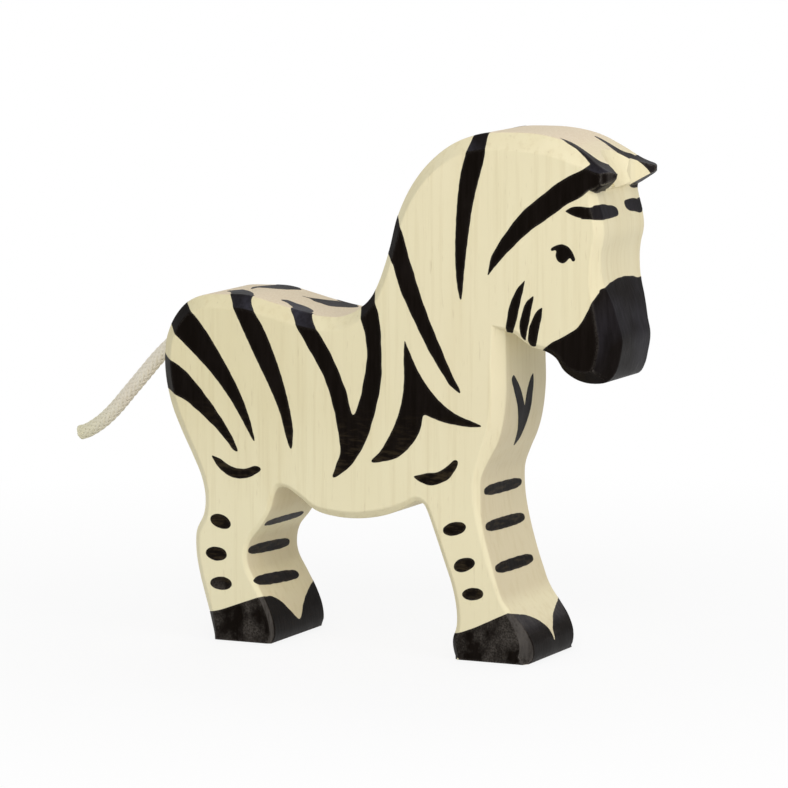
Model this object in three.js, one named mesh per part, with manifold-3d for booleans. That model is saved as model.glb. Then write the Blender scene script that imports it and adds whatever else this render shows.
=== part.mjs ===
// A zebra sawn from one thick board, with bevelled edges, painted marks and a short cord tail.
// Millimetres. +X runs to the muzzle, +Y to the animal's left, +Z up; the soles stand on z = 0.
import * as THREE from "three";
import { mergeVertices } from "three/addons/utils/BufferGeometryUtils.js";
import Module from "manifold-3d";

const wasm = await Module();
wasm.setup();

// Driving sizes of the board
const BODY_LENGTH = 123;
const BODY_HEIGHT = 130;
const BOARD_THICKNESS = 30;
const EDGE_BEVEL = 3.2;

// Scoop between the ears: the side of a roller that leans back, the point where it goes deepest in
// shares of the body, and its shift to the right in shares of the thickness
const SCOOP_RADIUS = 9.5;
const SCOOP_LENGTH = 26;
const SCOOP_LEAN = THREE.MathUtils.degToRad(25);
const SCOOP_PLACE_SHARES = [0.9497, 0.923];
const SCOOP_SHIFT_SHARE = -0.02;

// Rounding of each ear's outer and inner corner as seen from above, in shares of the length and of
// half the thickness, and the height that it starts from
const EAR_CORNER_SHARES = [
  [[0.968, 1.1], [0.972, 1], [0.987, 0.955], [0.997, 0.88], [1.001, 0.79], [1.004, 0.66]],
  [[1.06, 0.66], [1.06, 1.1]],
];
const EAR_INNER_SHARES = [
  [[0.962, 0.46], [0.967, 0.53], [0.981, 0.64], [0.993, 0.765], [0.999, 0.82]],
  [[1.06, 0.84], [1.06, 0.3]],
  [[0.962, 0.3]],
];
const EAR_FLOOR_SHARE = 0.88;

// Paint coats and the clearance that every fitted piece keeps
const PAINT_DEPTH = 0.3;
const FIT_GAP = 0.3;
const EDGE_WRAP_SHARE = 1.32;
const FLAT_WRAP = 1.2;
const CUT_OVERRUN = 4;
const HOOF_FOOT = 1.5;
const RIM_WIDTH = 1.05;

// Painted dabs on the legs
const SIDE_DAB_LENGTH = 6;
const SIDE_DAB_HEIGHT = 3.3;
const DAB_SQUARENESS = 2;
const BAR_LENGTH_SHARE = 0.8;
const BAR_HEIGHT = 2.9;
const BAR_SQUARENESS = 3;

// Cord tail, its bore and the glue behind it
const CORD_DIAMETER = 3.9;
const BORE_DEPTH = 14;
const GLUE_LENGTH = 2.4;
const BORE_SLOPE = THREE.MathUtils.degToRad(20);
const CORD_SIDES = 8;
const CORD_STEPS = 6;

// How finely curves are cut into straight pieces
const OUTLINE_STEP = 2.6;
const MARK_STEP = 3.2;
const BORE_SIDES = 24;
const SCOOP_SIDES = 48;
const DAB_SIDES = 12;

const HALF_THICKNESS = BOARD_THICKNESS / 2;
const EDGE_WRAP = EDGE_WRAP_SHARE * EDGE_BEVEL;
const CORD_RADIUS = CORD_DIAMETER / 2;
const BORE_RADIUS = CORD_RADIUS + FIT_GAP;

// Side outline in shares of the body's length and height, clockwise with the head on the right.
// Each point ends with its bevel in the side face, and where it differs the bevel's reach across
// the thickness, both in shares of EDGE_BEVEL. Runs are smooth and meet in corners.
const OUTLINE_SHARES = [
  // rear hoof, rump, back, neck and crest
  [
    [0.123, 0, 0.2], [0.1171, 0.0163, 0.4], [0.1063, 0.0471, 0.6], [0.0943, 0.0855, 0.6],
    [0.0821, 0.1279, 0.6], [0.0748, 0.1691, 0.6], [0.0762, 0.209, 0.6], [0.0923, 0.2412, 0.6],
    [0.0961, 0.273, 0.6], [0.0867, 0.3119, 0.7], [0.0663, 0.3517, 0.8], [0.0375, 0.4025, 0.9],
    [0.0146, 0.4504, 1], [0.002, 0.5034, 1], [0, 0.548, 1], [0.005, 0.5823, 1],
    [0.0236, 0.6203, 1], [0.0541, 0.6508, 1], [0.0925, 0.6654, 1], [0.1373, 0.6685, 1],
    [0.1895, 0.6688, 1], [0.2427, 0.6584, 1], [0.2961, 0.6466, 1], [0.3531, 0.6372, 1],
    [0.398, 0.638, 1], [0.432, 0.65, 0.9], [0.4661, 0.6749, 0.7], [0.4853, 0.7079, 0.7],
    [0.508, 0.7686, 0.7], [0.5261, 0.8353, 0.8], [0.5552, 0.8931, 0.9], [0.5939, 0.9389, 1],
    [0.6449, 0.9753, 1.1], [0.7061, 0.9955, 1.2], [0.767, 1, 1.3], [0.8284, 0.9985, 1.3],
    [0.8828, 0.9879, 1.2], [0.9315, 0.9652, 0.9], [0.9672, 0.9438, 0.5], [1, 0.931, 0.1],
  ],
  // blunt tip of the ears
  [[1, 0.931, 0.1], [0.997, 0.9215, 0.1]],
  // underside of the ears, back to the brow
  [[0.997, 0.9215, 0.1], [0.957, 0.896, 0.3]],
  // face, muzzle and jaw
  [
    [0.957, 0.896, 0.5, 0.8], [0.9631, 0.8703, 0.5, 0.8], [0.9707, 0.8424, 0.5, 0.8],
    [0.973, 0.8149, 0.5, 0.8], [0.9658, 0.781, 0.5, 0.8], [0.9657, 0.75, 0.6, 0.9],
    [0.971, 0.7194, 0.8, 1.1], [0.983, 0.6858, 1, 1.5], [0.9931, 0.6466, 1.1, 1.8],
    [1, 0.6176, 1.2, 1.9], [0.9947, 0.582, 1.2, 1.9], [0.9867, 0.5573, 1.2, 1.8],
    [0.9722, 0.5406, 1.1, 1.5], [0.942, 0.537, 1, 1.1], [0.915, 0.5439, 0.8],
    [0.8901, 0.5601, 0.6], [0.8735, 0.5833, 0.5], [0.853, 0.595, 0.4], [0.826, 0.601, 0.4],
    [0.803, 0.613, 0.4], [0.784, 0.625, 0.4], [0.762, 0.628, 0.4],
  ],
  // chest and the front of the front leg
  [
    [0.762, 0.628, 0.8], [0.762, 0.569, 0.9], [0.7629, 0.508, 0.9], [0.7566, 0.4542, 0.9],
    [0.7459, 0.4163, 0.9], [0.7285, 0.3826, 0.7], [0.714, 0.3486, 0.5], [0.7129, 0.3149, 0.5],
    [0.7147, 0.2852, 0.4], [0.7229, 0.2419, 0.3], [0.7366, 0.1949, 0.3], [0.7515, 0.1505, 0.2],
    [0.7655, 0.1179, 0.2], [0.7889, 0.0897, 0.4], [0.8112, 0.0621, 0.6], [0.824, 0.0342, 0.8],
    [0.8237, 0.0118, 0.9], [0.817, 0, 0.9],
  ],
  // front sole
  [[0.817, 0, 0.04], [0.661, 0, 0.04]],
  // heel, belly and the front of the rear leg
  [
    [0.661, 0, 0.4], [0.6536, 0.0173, 0.5], [0.652, 0.0368, 0.5], [0.6595, 0.0617, 0.5],
    [0.6596, 0.0919, 0.5], [0.6508, 0.1348, 0.5], [0.6324, 0.1843, 0.5], [0.6124, 0.2355, 0.5],
    [0.5964, 0.2751, 0.5], [0.5883, 0.2909, 0.4], [0.575, 0.296, 0.4], [0.556, 0.287, 0.4],
    [0.5307, 0.2742, 0.5], [0.4915, 0.2613, 0.6], [0.442, 0.2537, 0.6], [0.3929, 0.2542, 0.6],
    [0.3479, 0.2636, 0.5], [0.312, 0.288, 0.4], [0.285, 0.304, 0.3], [0.268, 0.305, 0.3],
    [0.258, 0.289, 0.3], [0.249, 0.26, 0.3], [0.2261, 0.2254, 0.3], [0.2029, 0.1971, 0.3],
    [0.1961, 0.1685, 0.3], [0.2001, 0.1437, 0.3], [0.2204, 0.1096, 0.3], [0.2415, 0.0734, 0.3],
    [0.2542, 0.042, 0.3], [0.2568, 0.0149, 0.3], [0.25, 0, 0.3],
  ],
  // rear sole
  [[0.25, 0, 0.04], [0.123, 0, 0.04]],
];

// Marks painted on each flank, in shares of the body's length and height. Runs follow one another
// round the mark and meet in its points. A plan adds what lies on the top, across the thickness in
// shares of the flat's half width, and a front adds what lies on the face. A mark that was painted
// elsewhere on the left flank says by how much it is shifted there and has its own plan. Where
// the rim is kept, the paint stops short of the scoop between the ears.
const FLANK_MARKS = [
  {
    name: "rump_stripe_high",
    wrap: EDGE_WRAP,
    sideShares: [
      [
        [-0.02, 0.632], [0.0169, 0.6041], [0.0499, 0.578], [0.0812, 0.5522], [0.1216, 0.5157],
        [0.1624, 0.4691], [0.1888, 0.4308], [0.2167, 0.3896],
      ],
      [
        [0.2068, 0.4313], [0.1889, 0.4735], [0.1653, 0.5151], [0.1375, 0.5571], [0.1064, 0.5995],
        [0.0776, 0.6305], [0.05, 0.65], [0.025, 0.685],
      ],
    ],
  },
  {
    name: "rump_stripe_low",
    wrap: EDGE_WRAP,
    sideShares: [
      [
        [-0.02, 0.56], [0.003, 0.547], [0.0465, 0.528], [0.0747, 0.5057], [0.1147, 0.4639],
        [0.1431, 0.4294], [0.1651, 0.3981], [0.1791, 0.3679],
      ],
      [
        [0.1678, 0.3722], [0.1379, 0.4039], [0.0992, 0.4352], [0.058, 0.4628], [0.0178, 0.4781],
        [-0.02, 0.49],
      ],
    ],
  },
  {
    name: "flank_stripe",
    wrap: EDGE_WRAP,
    sideShares: [
      [
        [0.146, 0.72], [0.1468, 0.674], [0.1563, 0.6621], [0.1675, 0.6477], [0.1911, 0.6045],
        [0.219, 0.5535], [0.2513, 0.4966], [0.2738, 0.4499], [0.2896, 0.3982], [0.2991, 0.3791],
      ],
      [
        [0.3038, 0.418], [0.2954, 0.4603], [0.2782, 0.5174], [0.2576, 0.5688], [0.2357, 0.6124],
        [0.2139, 0.6427], [0.2015, 0.658], [0.2008, 0.6718], [0.2, 0.72],
      ],
    ],
    planFloorShare: 0.6,
    planShares: [
      [[0.157, -1.05], [0.152, -0.99], [0.1426, -0.9348], [0.1346, -0.6984], [0.116, -0.5]],
      [[0.134, -0.0944], [0.1594, -0.3928], [0.1834, -0.7035], [0.1939, -0.8905]],
      [[0.2003, -1.0518]],
    ],
    left: {
      shiftShare: 0.012,
      planShares: [
        [[0.1883, -1.1427], [0.1607, -0.9435], [0.1338, -0.5134], [0.148, -0.03]],
        [
          [0.1481, -0.3631], [0.1848, -0.2949], [0.1953, -0.3735], [0.2094, -0.5891],
          [0.2152, -0.7777], [0.2229, -0.9602],
        ],
        [[0.2119, -1.0466]],
      ],
    },
  },
  {
    name: "saddle_stripe",
    wrap: EDGE_WRAP,
    sideShares: [
      [
        [0.286, 0.69], [0.2866, 0.6482], [0.2974, 0.6356], [0.3075, 0.6218], [0.3345, 0.5821],
        [0.3736, 0.5214], [0.394, 0.4653], [0.4053, 0.4137], [0.409, 0.3819], [0.3985, 0.3529],
        [0.3912, 0.3308],
      ],
      [
        [0.4176, 0.3439], [0.438, 0.3631], [0.4556, 0.3882], [0.4672, 0.4084], [0.4872, 0.4662],
        [0.4997, 0.524], [0.5002, 0.577], [0.4958, 0.6382], [0.4821, 0.6801], [0.462, 0.72],
      ],
      [
        [0.424, 0.7], [0.442, 0.665], [0.4618, 0.6178], [0.4687, 0.57], [0.4613, 0.5224],
        [0.451, 0.4797], [0.437, 0.4531],
      ],
      [
        [0.423, 0.4971], [0.4008, 0.5448], [0.379, 0.5822], [0.3534, 0.6156], [0.3414, 0.6267],
        [0.3336, 0.64], [0.332, 0.69],
      ],
    ],
    planFloorShare: 0.6,
    planShares: [
      [[0.292, -1.05], [0.2798, -0.9058], [0.2631, -0.7356], [0.2439, -0.6507]],
      [
        [0.2525, -0.4567], [0.2749, -0.5114], [0.2958, -0.5359], [0.3127, -0.6422],
        [0.3248, -0.813],
      ],
      [[0.329, -1.0554]],
    ],
    left: {
      shiftShare: 0.012,
      planShares: [
        [[0.31, -0.972], [0.2943, -0.7909], [0.2746, -0.5592], [0.262, -0.42], [0.247, -0.345]],
        [
          [0.266, -0.375], [0.2819, -0.2401], [0.2969, -0.2383], [0.3148, -0.1876],
          [0.3379, -0.4403], [0.358, -0.8026],
        ],
        [[0.3421, -1.0251]],
      ],
    },
  },
  {
    name: "shoulder_patch",
    wrap: FLAT_WRAP,
    sideShares: [
      [
        [0.551, 0.603], [0.5618, 0.5813], [0.5741, 0.557], [0.5844, 0.5397], [0.6037, 0.5146],
        [0.6251, 0.493], [0.6493, 0.4755], [0.6734, 0.4638], [0.6947, 0.4573], [0.7209, 0.4476],
      ],
      [[0.69, 0.4449], [0.6419, 0.4501], [0.6112, 0.458], [0.5937, 0.463]],
      [
        [0.5882, 0.4407], [0.5801, 0.4223], [0.5671, 0.4049], [0.5509, 0.3889], [0.5332, 0.377],
        [0.5152, 0.3713], [0.4764, 0.3661],
      ],
      [
        [0.4972, 0.3869], [0.512, 0.4089], [0.527, 0.4353], [0.5385, 0.4627], [0.5465, 0.4933],
        [0.5503, 0.531], [0.5493, 0.565],
      ],
    ],
  },
  {
    name: "neck_stripe",
    wrap: EDGE_WRAP,
    sideShares: [
      [
        [0.495, 0.86], [0.53, 0.832], [0.5482, 0.7995], [0.5582, 0.7658], [0.5695, 0.7358],
        [0.5851, 0.692], [0.6086, 0.6367], [0.6295, 0.5942], [0.6507, 0.5509], [0.6743, 0.5066],
      ],
      [
        [0.649, 0.5231], [0.6281, 0.5514], [0.6061, 0.5825], [0.5841, 0.6195], [0.5608, 0.661],
        [0.5404, 0.7008], [0.5229, 0.7483], [0.505, 0.765], [0.475, 0.776],
      ],
    ],
  },
  {
    name: "crest_stripe",
    wrap: EDGE_WRAP,
    sideShares: [
      [
        [0.696, 1.05], [0.6885, 0.9929], [0.6828, 0.954], [0.675, 0.9287], [0.6686, 0.8912],
        [0.6648, 0.853], [0.6627, 0.816], [0.6617, 0.778], [0.663, 0.7409], [0.6678, 0.7026],
        [0.6742, 0.6827],
      ],
      [
        [0.6816, 0.741], [0.6862, 0.7789], [0.6917, 0.8167], [0.6984, 0.8575], [0.7089, 0.8996],
        [0.7177, 0.9293], [0.726, 0.964], [0.721, 0.9944], [0.74, 1.05],
      ],
    ],
  },
  {
    name: "ear_stripe",
    wrap: EDGE_WRAP,
    sideShares: [
      [
        [0.7317, 0.7318], [0.7395, 0.7665], [0.7603, 0.8003], [0.7812, 0.827], [0.8006, 0.8494],
        [0.8225, 0.8685], [0.8445, 0.8845], [0.8661, 0.9008], [0.8893, 0.9165], [0.9197, 0.9317],
        [0.9377, 0.9402],
      ],
      [[0.9484, 0.9485], [0.9401, 0.953], [0.933, 0.9595], [0.926, 0.965]],
      [[0.924, 1.04], [1.04, 1.04]],
      [[1.04, 0.9], [0.9641, 0.8926]],
      [[0.9556, 0.8935]],
      [
        [0.9501, 0.9025], [0.9327, 0.8876], [0.9095, 0.877], [0.8872, 0.8628], [0.8649, 0.8474],
        [0.8241, 0.8207], [0.7995, 0.8005], [0.7594, 0.7626], [0.7421, 0.7432],
      ],
    ],
    planFloorShare: 0.9,
    planShares: [
      [[0.93, -1.18], [0.911, -1.11], [0.901, -1.09], [0.891, -1.065], [0.882, -1.03]],
      [
        [0.868, -0.95], [0.886, -0.92], [0.904, -0.9], [0.918, -0.93], [0.938, -0.95],
        [0.954, -0.91], [0.965, -0.75],
      ],
      [[0.967, -0.7], [0.976, -0.72]],
      [[0.992, -0.95], [0.99, -1.15], [0.96, -1.15]],
    ],
    left: {
      shiftShare: 0,
      sideShares: [
        [
          [0.7317, 0.7318], [0.7395, 0.7665], [0.7603, 0.8003], [0.7812, 0.827],
          [0.8006, 0.8494], [0.8225, 0.8685], [0.8445, 0.8845], [0.8661, 0.9008],
          [0.8893, 0.9165], [0.9197, 0.9317], [0.9377, 0.9402],
        ],
        [[0.952, 0.944], [0.959, 0.951], [0.962, 0.962]],
        [[0.962, 1.04], [1.04, 1.04]],
        [[1.04, 0.9], [0.9641, 0.8926]],
        [[0.9556, 0.8935]],
        [
          [0.9501, 0.8975], [0.9327, 0.8876], [0.9095, 0.877], [0.8872, 0.8628],
          [0.8649, 0.8474], [0.8241, 0.8207], [0.7995, 0.8005], [0.7594, 0.7626],
          [0.7421, 0.7432],
        ],
      ],
      planShares: [
        [
          [0.965, -1.1], [0.954, -1], [0.947, -0.83], [0.939, -0.69], [0.922, -0.65],
          [0.904, -0.63], [0.893, -0.615],
        ],
        [
          [0.884, -0.565], [0.897, -0.5], [0.908, -0.48], [0.918, -0.45], [0.928, -0.41],
          [0.946, -0.39],
        ],
        [[0.958, -0.45], [0.99, -0.45]],
        [[0.99, -1.1]],
      ],
      frontShares: [
        [[-0.247, 0.8955], [-0.29, 0.9], [-0.35, 0.904], [-0.395, 0.909]],
        [
          [-0.3803, 0.9142], [-0.3657, 0.919], [-0.351, 0.9239], [-0.3287, 0.9298],
          [-0.309, 0.9357], [-0.297, 0.939], [-0.285, 0.9416],
        ],
        [[-0.27, 0.9445]],
        [[-0.47, 0.9445], [-0.47, 0.889]],
        [[-0.4, 0.889], [-0.292, 0.8905]],
      ],
    },
    rimKept: 1,
    frontShares: [
      [[-0.233, 0.894], [-0.27, 0.898], [-0.323, 0.9046], [-0.365, 0.912], [-0.407, 0.918]],
      [[-0.47, 0.918], [-0.47, 0.898]],
      [[-0.42, 0.8965], [-0.356, 0.8954], [-0.253, 0.895]],
    ],
  },
  {
    name: "cheek_stripe_rear",
    wrap: EDGE_WRAP,
    sideShares: [
      [
        [0.8133, 0.729], [0.7969, 0.7118], [0.7837, 0.6887], [0.7758, 0.663], [0.7723, 0.64],
        [0.7699, 0.6235],
      ],
      [[0.785, 0.6269], [0.7946, 0.6499], [0.8002, 0.6751], [0.8072, 0.7022]],
    ],
  },
  {
    name: "cheek_stripe_middle",
    wrap: EDGE_WRAP,
    sideShares: [
      [[0.8321, 0.7005], [0.8168, 0.6884], [0.806, 0.664], [0.8015, 0.6421], [0.8065, 0.6166]],
      [[0.8137, 0.6132], [0.8196, 0.64], [0.8264, 0.6721]],
    ],
  },
  {
    name: "cheek_stripe_front",
    wrap: EDGE_WRAP,
    sideShares: [
      [[0.8513, 0.6796], [0.8392, 0.6716], [0.8265, 0.6505], [0.8203, 0.6281], [0.8216, 0.6048]],
      [[0.8369, 0.6037], [0.8406, 0.6249], [0.8475, 0.6549]],
    ],
  },
  {
    name: "eye",
    wrap: FLAT_WRAP,
    sideShares: [
      [
        [0.8665, 0.7878], [0.8698, 0.7912], [0.8794, 0.7953], [0.8889, 0.7984], [0.9012, 0.7966],
        [0.9112, 0.7883], [0.9185, 0.7759],
      ],
      [[0.9214, 0.7685], [0.9131, 0.7658], [0.9116, 0.7731]],
      [[0.9068, 0.7744], [0.9021, 0.7666], [0.892, 0.762], [0.8824, 0.7666], [0.8782, 0.7753]],
      [[0.8809, 0.786], [0.8758, 0.7875], [0.8699, 0.7826]],
    ],
  },
  {
    name: "brow_mark",
    wrap: EDGE_WRAP,
    sideShares: [
      [[0.8965, 0.8601], [0.9141, 0.8685], [0.9567, 0.8694], [1.03, 0.872]],
      [[1.03, 0.846], [0.9578, 0.848], [0.9236, 0.8495], [0.9035, 0.8575]],
    ],
    frontShares: [
      [
        [-0.467, 0.873], [-0.3459, 0.8723], [-0.2108, 0.8676], [-0.1367, 0.8649],
        [-0.0846, 0.8582], [-0.0836, 0.8508], [-0.1294, 0.8463], [-0.2468, 0.8454],
        [-0.3907, 0.8451], [-0.5245, 0.8491],
      ],
    ],
    left: {
      shiftShare: 0,
      frontShares: [
        [
          [-0.4454, 0.863], [-0.3356, 0.8698], [-0.2135, 0.872], [-0.1469, 0.8715],
          [-0.0764, 0.8683], [-0.0889, 0.8566], [-0.1282, 0.8524], [-0.2416, 0.8475],
          [-0.3981, 0.8443],
        ],
      ],
    },
  },
  {
    name: "hip_crease",
    wrap: FLAT_WRAP,
    sideShares: [
      [
        [0.1176, 0.3595], [0.1393, 0.3525], [0.1569, 0.3424], [0.1761, 0.3367], [0.195, 0.337],
        [0.2211, 0.344], [0.232, 0.338],
      ],
      [
        [0.2226, 0.3295], [0.2017, 0.3201], [0.1811, 0.317], [0.164, 0.3193], [0.145, 0.328],
        [0.1296, 0.3417],
      ],
    ],
  },
  {
    name: "elbow_crease",
    wrap: FLAT_WRAP,
    sideShares: [
      [
        [0.5697, 0.3445], [0.5957, 0.3511], [0.6253, 0.3563], [0.6468, 0.3691], [0.6597, 0.3811],
        [0.6686, 0.3794],
      ],
      [[0.6654, 0.3654], [0.6511, 0.3469], [0.6331, 0.3357], [0.609, 0.3295], [0.5883, 0.3332]],
    ],
  },
];

// Where the front of the face lies along the body.
const FACE_PLACE_SHARE = 0.965;

// Dabs on the side of each leg: centre and size in shares, and tilt in degrees.
const SIDE_DABS = [
  {
    name: "front_leg_dab_high",
    centreShares: [0.6611, 0.2499],
    lengthShare: 1.092,
    heightShare: 0.992,
    tilt: 15.7,
  },
  {
    name: "front_leg_dab_middle",
    centreShares: [0.6824, 0.1826],
    lengthShare: 1.013,
    heightShare: 1.015,
    tilt: 19.8,
  },
  {
    name: "front_leg_dab_low",
    centreShares: [0.7014, 0.128],
    lengthShare: 0.987,
    heightShare: 0.94,
    tilt: 7.4,
  },
  {
    name: "rear_leg_dab_high",
    centreShares: [0.1387, 0.2313],
    lengthShare: 1.002,
    heightShare: 1.067,
    tilt: -15.4,
  },
  {
    name: "rear_leg_dab_middle",
    centreShares: [0.1289, 0.1678],
    lengthShare: 1.008,
    heightShare: 1.069,
    tilt: -2.7,
  },
  {
    name: "rear_leg_dab_low",
    centreShares: [0.1394, 0.1108],
    lengthShare: 1.034,
    heightShare: 1.023,
    tilt: 1.1,
  },
];

// Bars across the front of each leg: place along the body, height, sideways shift and size in
// shares, and tilt in degrees.
const FRONT_BARS = [
  {
    name: "front_leg_bar_high",
    xShare: 0.711,
    zShare: 0.3183,
    shiftShare: -0.0066,
    lengthShare: 0.955,
    heightShare: 0.972,
    tilt: -1.5,
  },
  {
    name: "front_leg_bar_middle",
    xShare: 0.722,
    zShare: 0.2517,
    shiftShare: -0.0318,
    lengthShare: 0.987,
    heightShare: 0.973,
    tilt: -1.2,
  },
  {
    name: "front_leg_bar_low",
    xShare: 0.744,
    zShare: 0.1743,
    shiftShare: -0.0536,
    lengthShare: 0.953,
    heightShare: 0.957,
    tilt: -0.8,
  },
  {
    name: "rear_leg_bar_high",
    xShare: 0.228,
    zShare: 0.2278,
    shiftShare: -0.0442,
    lengthShare: 0.943,
    heightShare: 0.667,
    tilt: -1.2,
  },
  {
    name: "rear_leg_bar_middle",
    xShare: 0.192,
    zShare: 0.1728,
    shiftShare: -0.0732,
    lengthShare: 0.992,
    heightShare: 0.928,
    tilt: -2.9,
  },
  {
    name: "rear_leg_bar_low",
    xShare: 0.21,
    zShare: 0.1137,
    shiftShare: -0.1009,
    lengthShare: 0.968,
    heightShare: 0.89,
    tilt: -3.4,
  },
];

// Forked mark on the chest, in shares of the thickness and the height.
const CHEST_FORK_SHARES = [
  [
    [-0.2633, 0.5421], [-0.301, 0.5343], [-0.2612, 0.5146], [-0.194, 0.4919], [-0.1495, 0.4754],
    [-0.1098, 0.4548], [-0.0661, 0.4302], [-0.0475, 0.4124],
  ],
  [
    [-0.0143, 0.3964], [0.042, 0.4114], [0.0704, 0.43], [0.1049, 0.4522], [0.1267, 0.4733],
    [0.1319, 0.4963], [0.1411, 0.5157],
  ],
  [[0.1371, 0.5355], [0.0907, 0.5284], [0.0271, 0.5104], [0.0012, 0.4909]],
  [[-0.0058, 0.4743], [-0.0673, 0.4947], [-0.1291, 0.5137], [-0.1989, 0.5298], [-0.2309, 0.5371]],
];
const CHEST_PLACE_SHARE = 0.76;

// The muzzle's paint rises in a low dome on the front of the face, in shares of the thickness and
// the height.
const MUZZLE_DOME_SHARES = [
  [
    [-0.4249, 0.7152], [-0.3175, 0.7218], [-0.1986, 0.7264], [-0.0499, 0.7297], [0.0499, 0.7295],
    [0.1989, 0.7268], [0.3182, 0.7215], [0.439, 0.7193],
  ],
  [[0.42, 0.69], [-0.42, 0.69]],
];

// Paint lines that run right round: the muzzle, and each hoof with the notch in its front.
const MUZZLE_SHARES = [
  [
    [0.84, 0.592], [0.8655, 0.6099], [0.8811, 0.6188], [0.9029, 0.6297], [0.9183, 0.6387],
    [0.9339, 0.6535], [0.9451, 0.673], [0.9559, 0.6918], [0.9655, 0.7118], [0.98, 0.7195],
    [1.04, 0.722],
  ],
  [[1.04, 0.5], [0.84, 0.5]],
];
const HOOVES = [
  {
    name: "front_hoof",
    topShares: [
      [0.62, 0.044], [0.6626, 0.0498], [0.7021, 0.0629], [0.732, 0.0761], [0.7609, 0.0892],
      [0.79, 0.1], [0.86, 0.1],
    ],
    notchPlaceShare: 0.8,
    notchShares: [
      [
        [-0.6, 0.11], [-0.5, 0.097], [-0.3889, 0.0919], [-0.2496, 0.0849], [-0.127, 0.0721],
        [-0.032, 0.0541], [0.017, 0.028],
      ],
      [[0.0356, 0.0504], [0.1709, 0.0716], [0.3447, 0.085], [0.5, 0.097], [0.6, 0.11]],
      [[0.6, 0.13], [-0.6, 0.13]],
    ],
  },
  {
    name: "rear_hoof",
    topShares: [
      [0.08, 0.046], [0.1179, 0.0546], [0.1368, 0.0589], [0.1657, 0.0688], [0.2051, 0.0826],
      [0.23, 0.09], [0.3, 0.09],
    ],
    notchPlaceShare: 0.235,
    notchShares: [
      [
        [-0.6, 0.105], [-0.5, 0.092], [-0.35, 0.087], [-0.24, 0.076], [-0.147, 0.057],
        [0.007, 0.031],
      ],
      [[0.123, 0.055], [0.27, 0.073], [0.4, 0.084], [0.5, 0.092], [0.6, 0.105]],
      [[0.6, 0.12], [-0.6, 0.12]],
    ],
  },
];

// The mouth of the tail's bore on the rump, and the cord's route from there to its cut end, on the
// board's middle plane.
const MOUTH_SHARES = [0.0065, 0.5823];
const CORD_ROUTE = [
  [0, 0], [-2.5, -1.4], [-4.7, -3.4], [-6.9, -5.4], [-9.3, -7.8], [-12.7, -11.6], [-17, -16.4],
  [-21.4, -21.3], [-25.2, -24.7], [-29.2, -27.2], [-31.3, -27.9],
];
const PIVOT_STAND_OFF = CORD_RADIUS + 2 * FIT_GAP;

const alongBody = (share) => (share - 0.5) * BODY_LENGTH;
const upBody = (share) => share * BODY_HEIGHT;
const acrossBody = (share) => share * BOARD_THICKNESS;
const mouth = new THREE.Vector3(alongBody(MOUTH_SHARES[0]), 0, upBody(MOUTH_SHARES[1]));

// How a flat loop and a depth become a point in space
const fromSide = (a, b, depth) => [a, depth, b];
const fromFront = (a, b, depth) => [depth, a, b];
const fromAbove = (a, b, depth) => [a, b, depth];

// Outlines

// Cuts one smooth run through the given points into short steps, without its last point.
function sampleRun(points, step) {
  const curve = new THREE.CatmullRomCurve3(
    points.map((p) => new THREE.Vector3(p.a, p.b, 0)),
    false,
    "centripetal",
  );
  const spans = points.length - 1;
  const samples = [];
  for (let span = 0; span < spans; span += 1) {
    const [from, to] = [points[span], points[span + 1]];
    const length = Math.hypot(to.a - from.a, to.b - from.b);
    const cuts = spans === 1 ? 1 : Math.max(1, Math.round(length / step));
    for (let cut = 0; cut < cuts; cut += 1) {
      const part = cut / cuts;
      const at = curve.getPoint((span + part) / spans);
      samples.push({
        a: at.x,
        b: at.y,
        bevel: THREE.MathUtils.lerp(from.bevel, to.bevel, part),
        across: THREE.MathUtils.lerp(from.across, to.across, part),
      });
    }
  }
  return samples;
}

// The board's outline: a closed loop whose corners know the bevel on either side of them.
function boardLoop() {
  const runs = OUTLINE_SHARES.map((run) =>
    run.map(([x, z, bevel, across = bevel]) => ({
      a: alongBody(x),
      b: upBody(z),
      bevel: bevel * EDGE_BEVEL,
      across: across * EDGE_BEVEL,
    })),
  );
  return runs.flatMap((run, index) => {
    const before = runs.at(index - 1).at(-1);
    const samples = sampleRun(run, OUTLINE_STEP);
    samples[0].before = before;
    return samples;
  });
}

// A closed loop from runs of points, where each run starts at the end of the one before it.
function markLoop(runs, place) {
  const placed = runs.map((run) => run.map(([a, b]) => place(a, b)));
  return placed.flatMap((run, index) => {
    const next = placed[(index + 1) % placed.length][0];
    return sampleRun([...run, next], MARK_STEP);
  });
}

// Moves each point of a clockwise loop inwards by the widths it asks for before and after it.
function insetLoop(loop, widthOf, longestMitre = 3) {
  return loop.map((point, index) => {
    const last = loop.at(index - 1);
    const next = loop[(index + 1) % loop.length];
    const into = inwardNormal(last, point);
    const away = inwardNormal(point, next);
    const before = widthOf(point.before ?? point);
    const after = widthOf(point);
    const cross = into.a * away.b - into.b * away.a;
    const nearlyStraight = Math.abs(cross) < 0.03;
    const mean = (before + after) / 2 / (1 + into.a * away.a + into.b * away.b);
    const move = nearlyStraight
      ? { a: (into.a + away.a) * mean, b: (into.b + away.b) * mean }
      : {
          a: (before * away.b - after * into.b) / cross,
          b: (after * into.a - before * away.a) / cross,
        };
    const moved = Math.hypot(move.a, move.b);
    const longest = longestMitre * Math.max(Math.abs(before), Math.abs(after));
    const scale = moved > longest ? longest / moved : 1;
    return { ...point, a: point.a + move.a * scale, b: point.b + move.b * scale };
  });
}

function inwardNormal(from, to) {
  const length = Math.hypot(to.a - from.a, to.b - from.b);
  return { a: (to.b - from.b) / length, b: (from.a - to.a) / length };
}

// Solids

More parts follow.
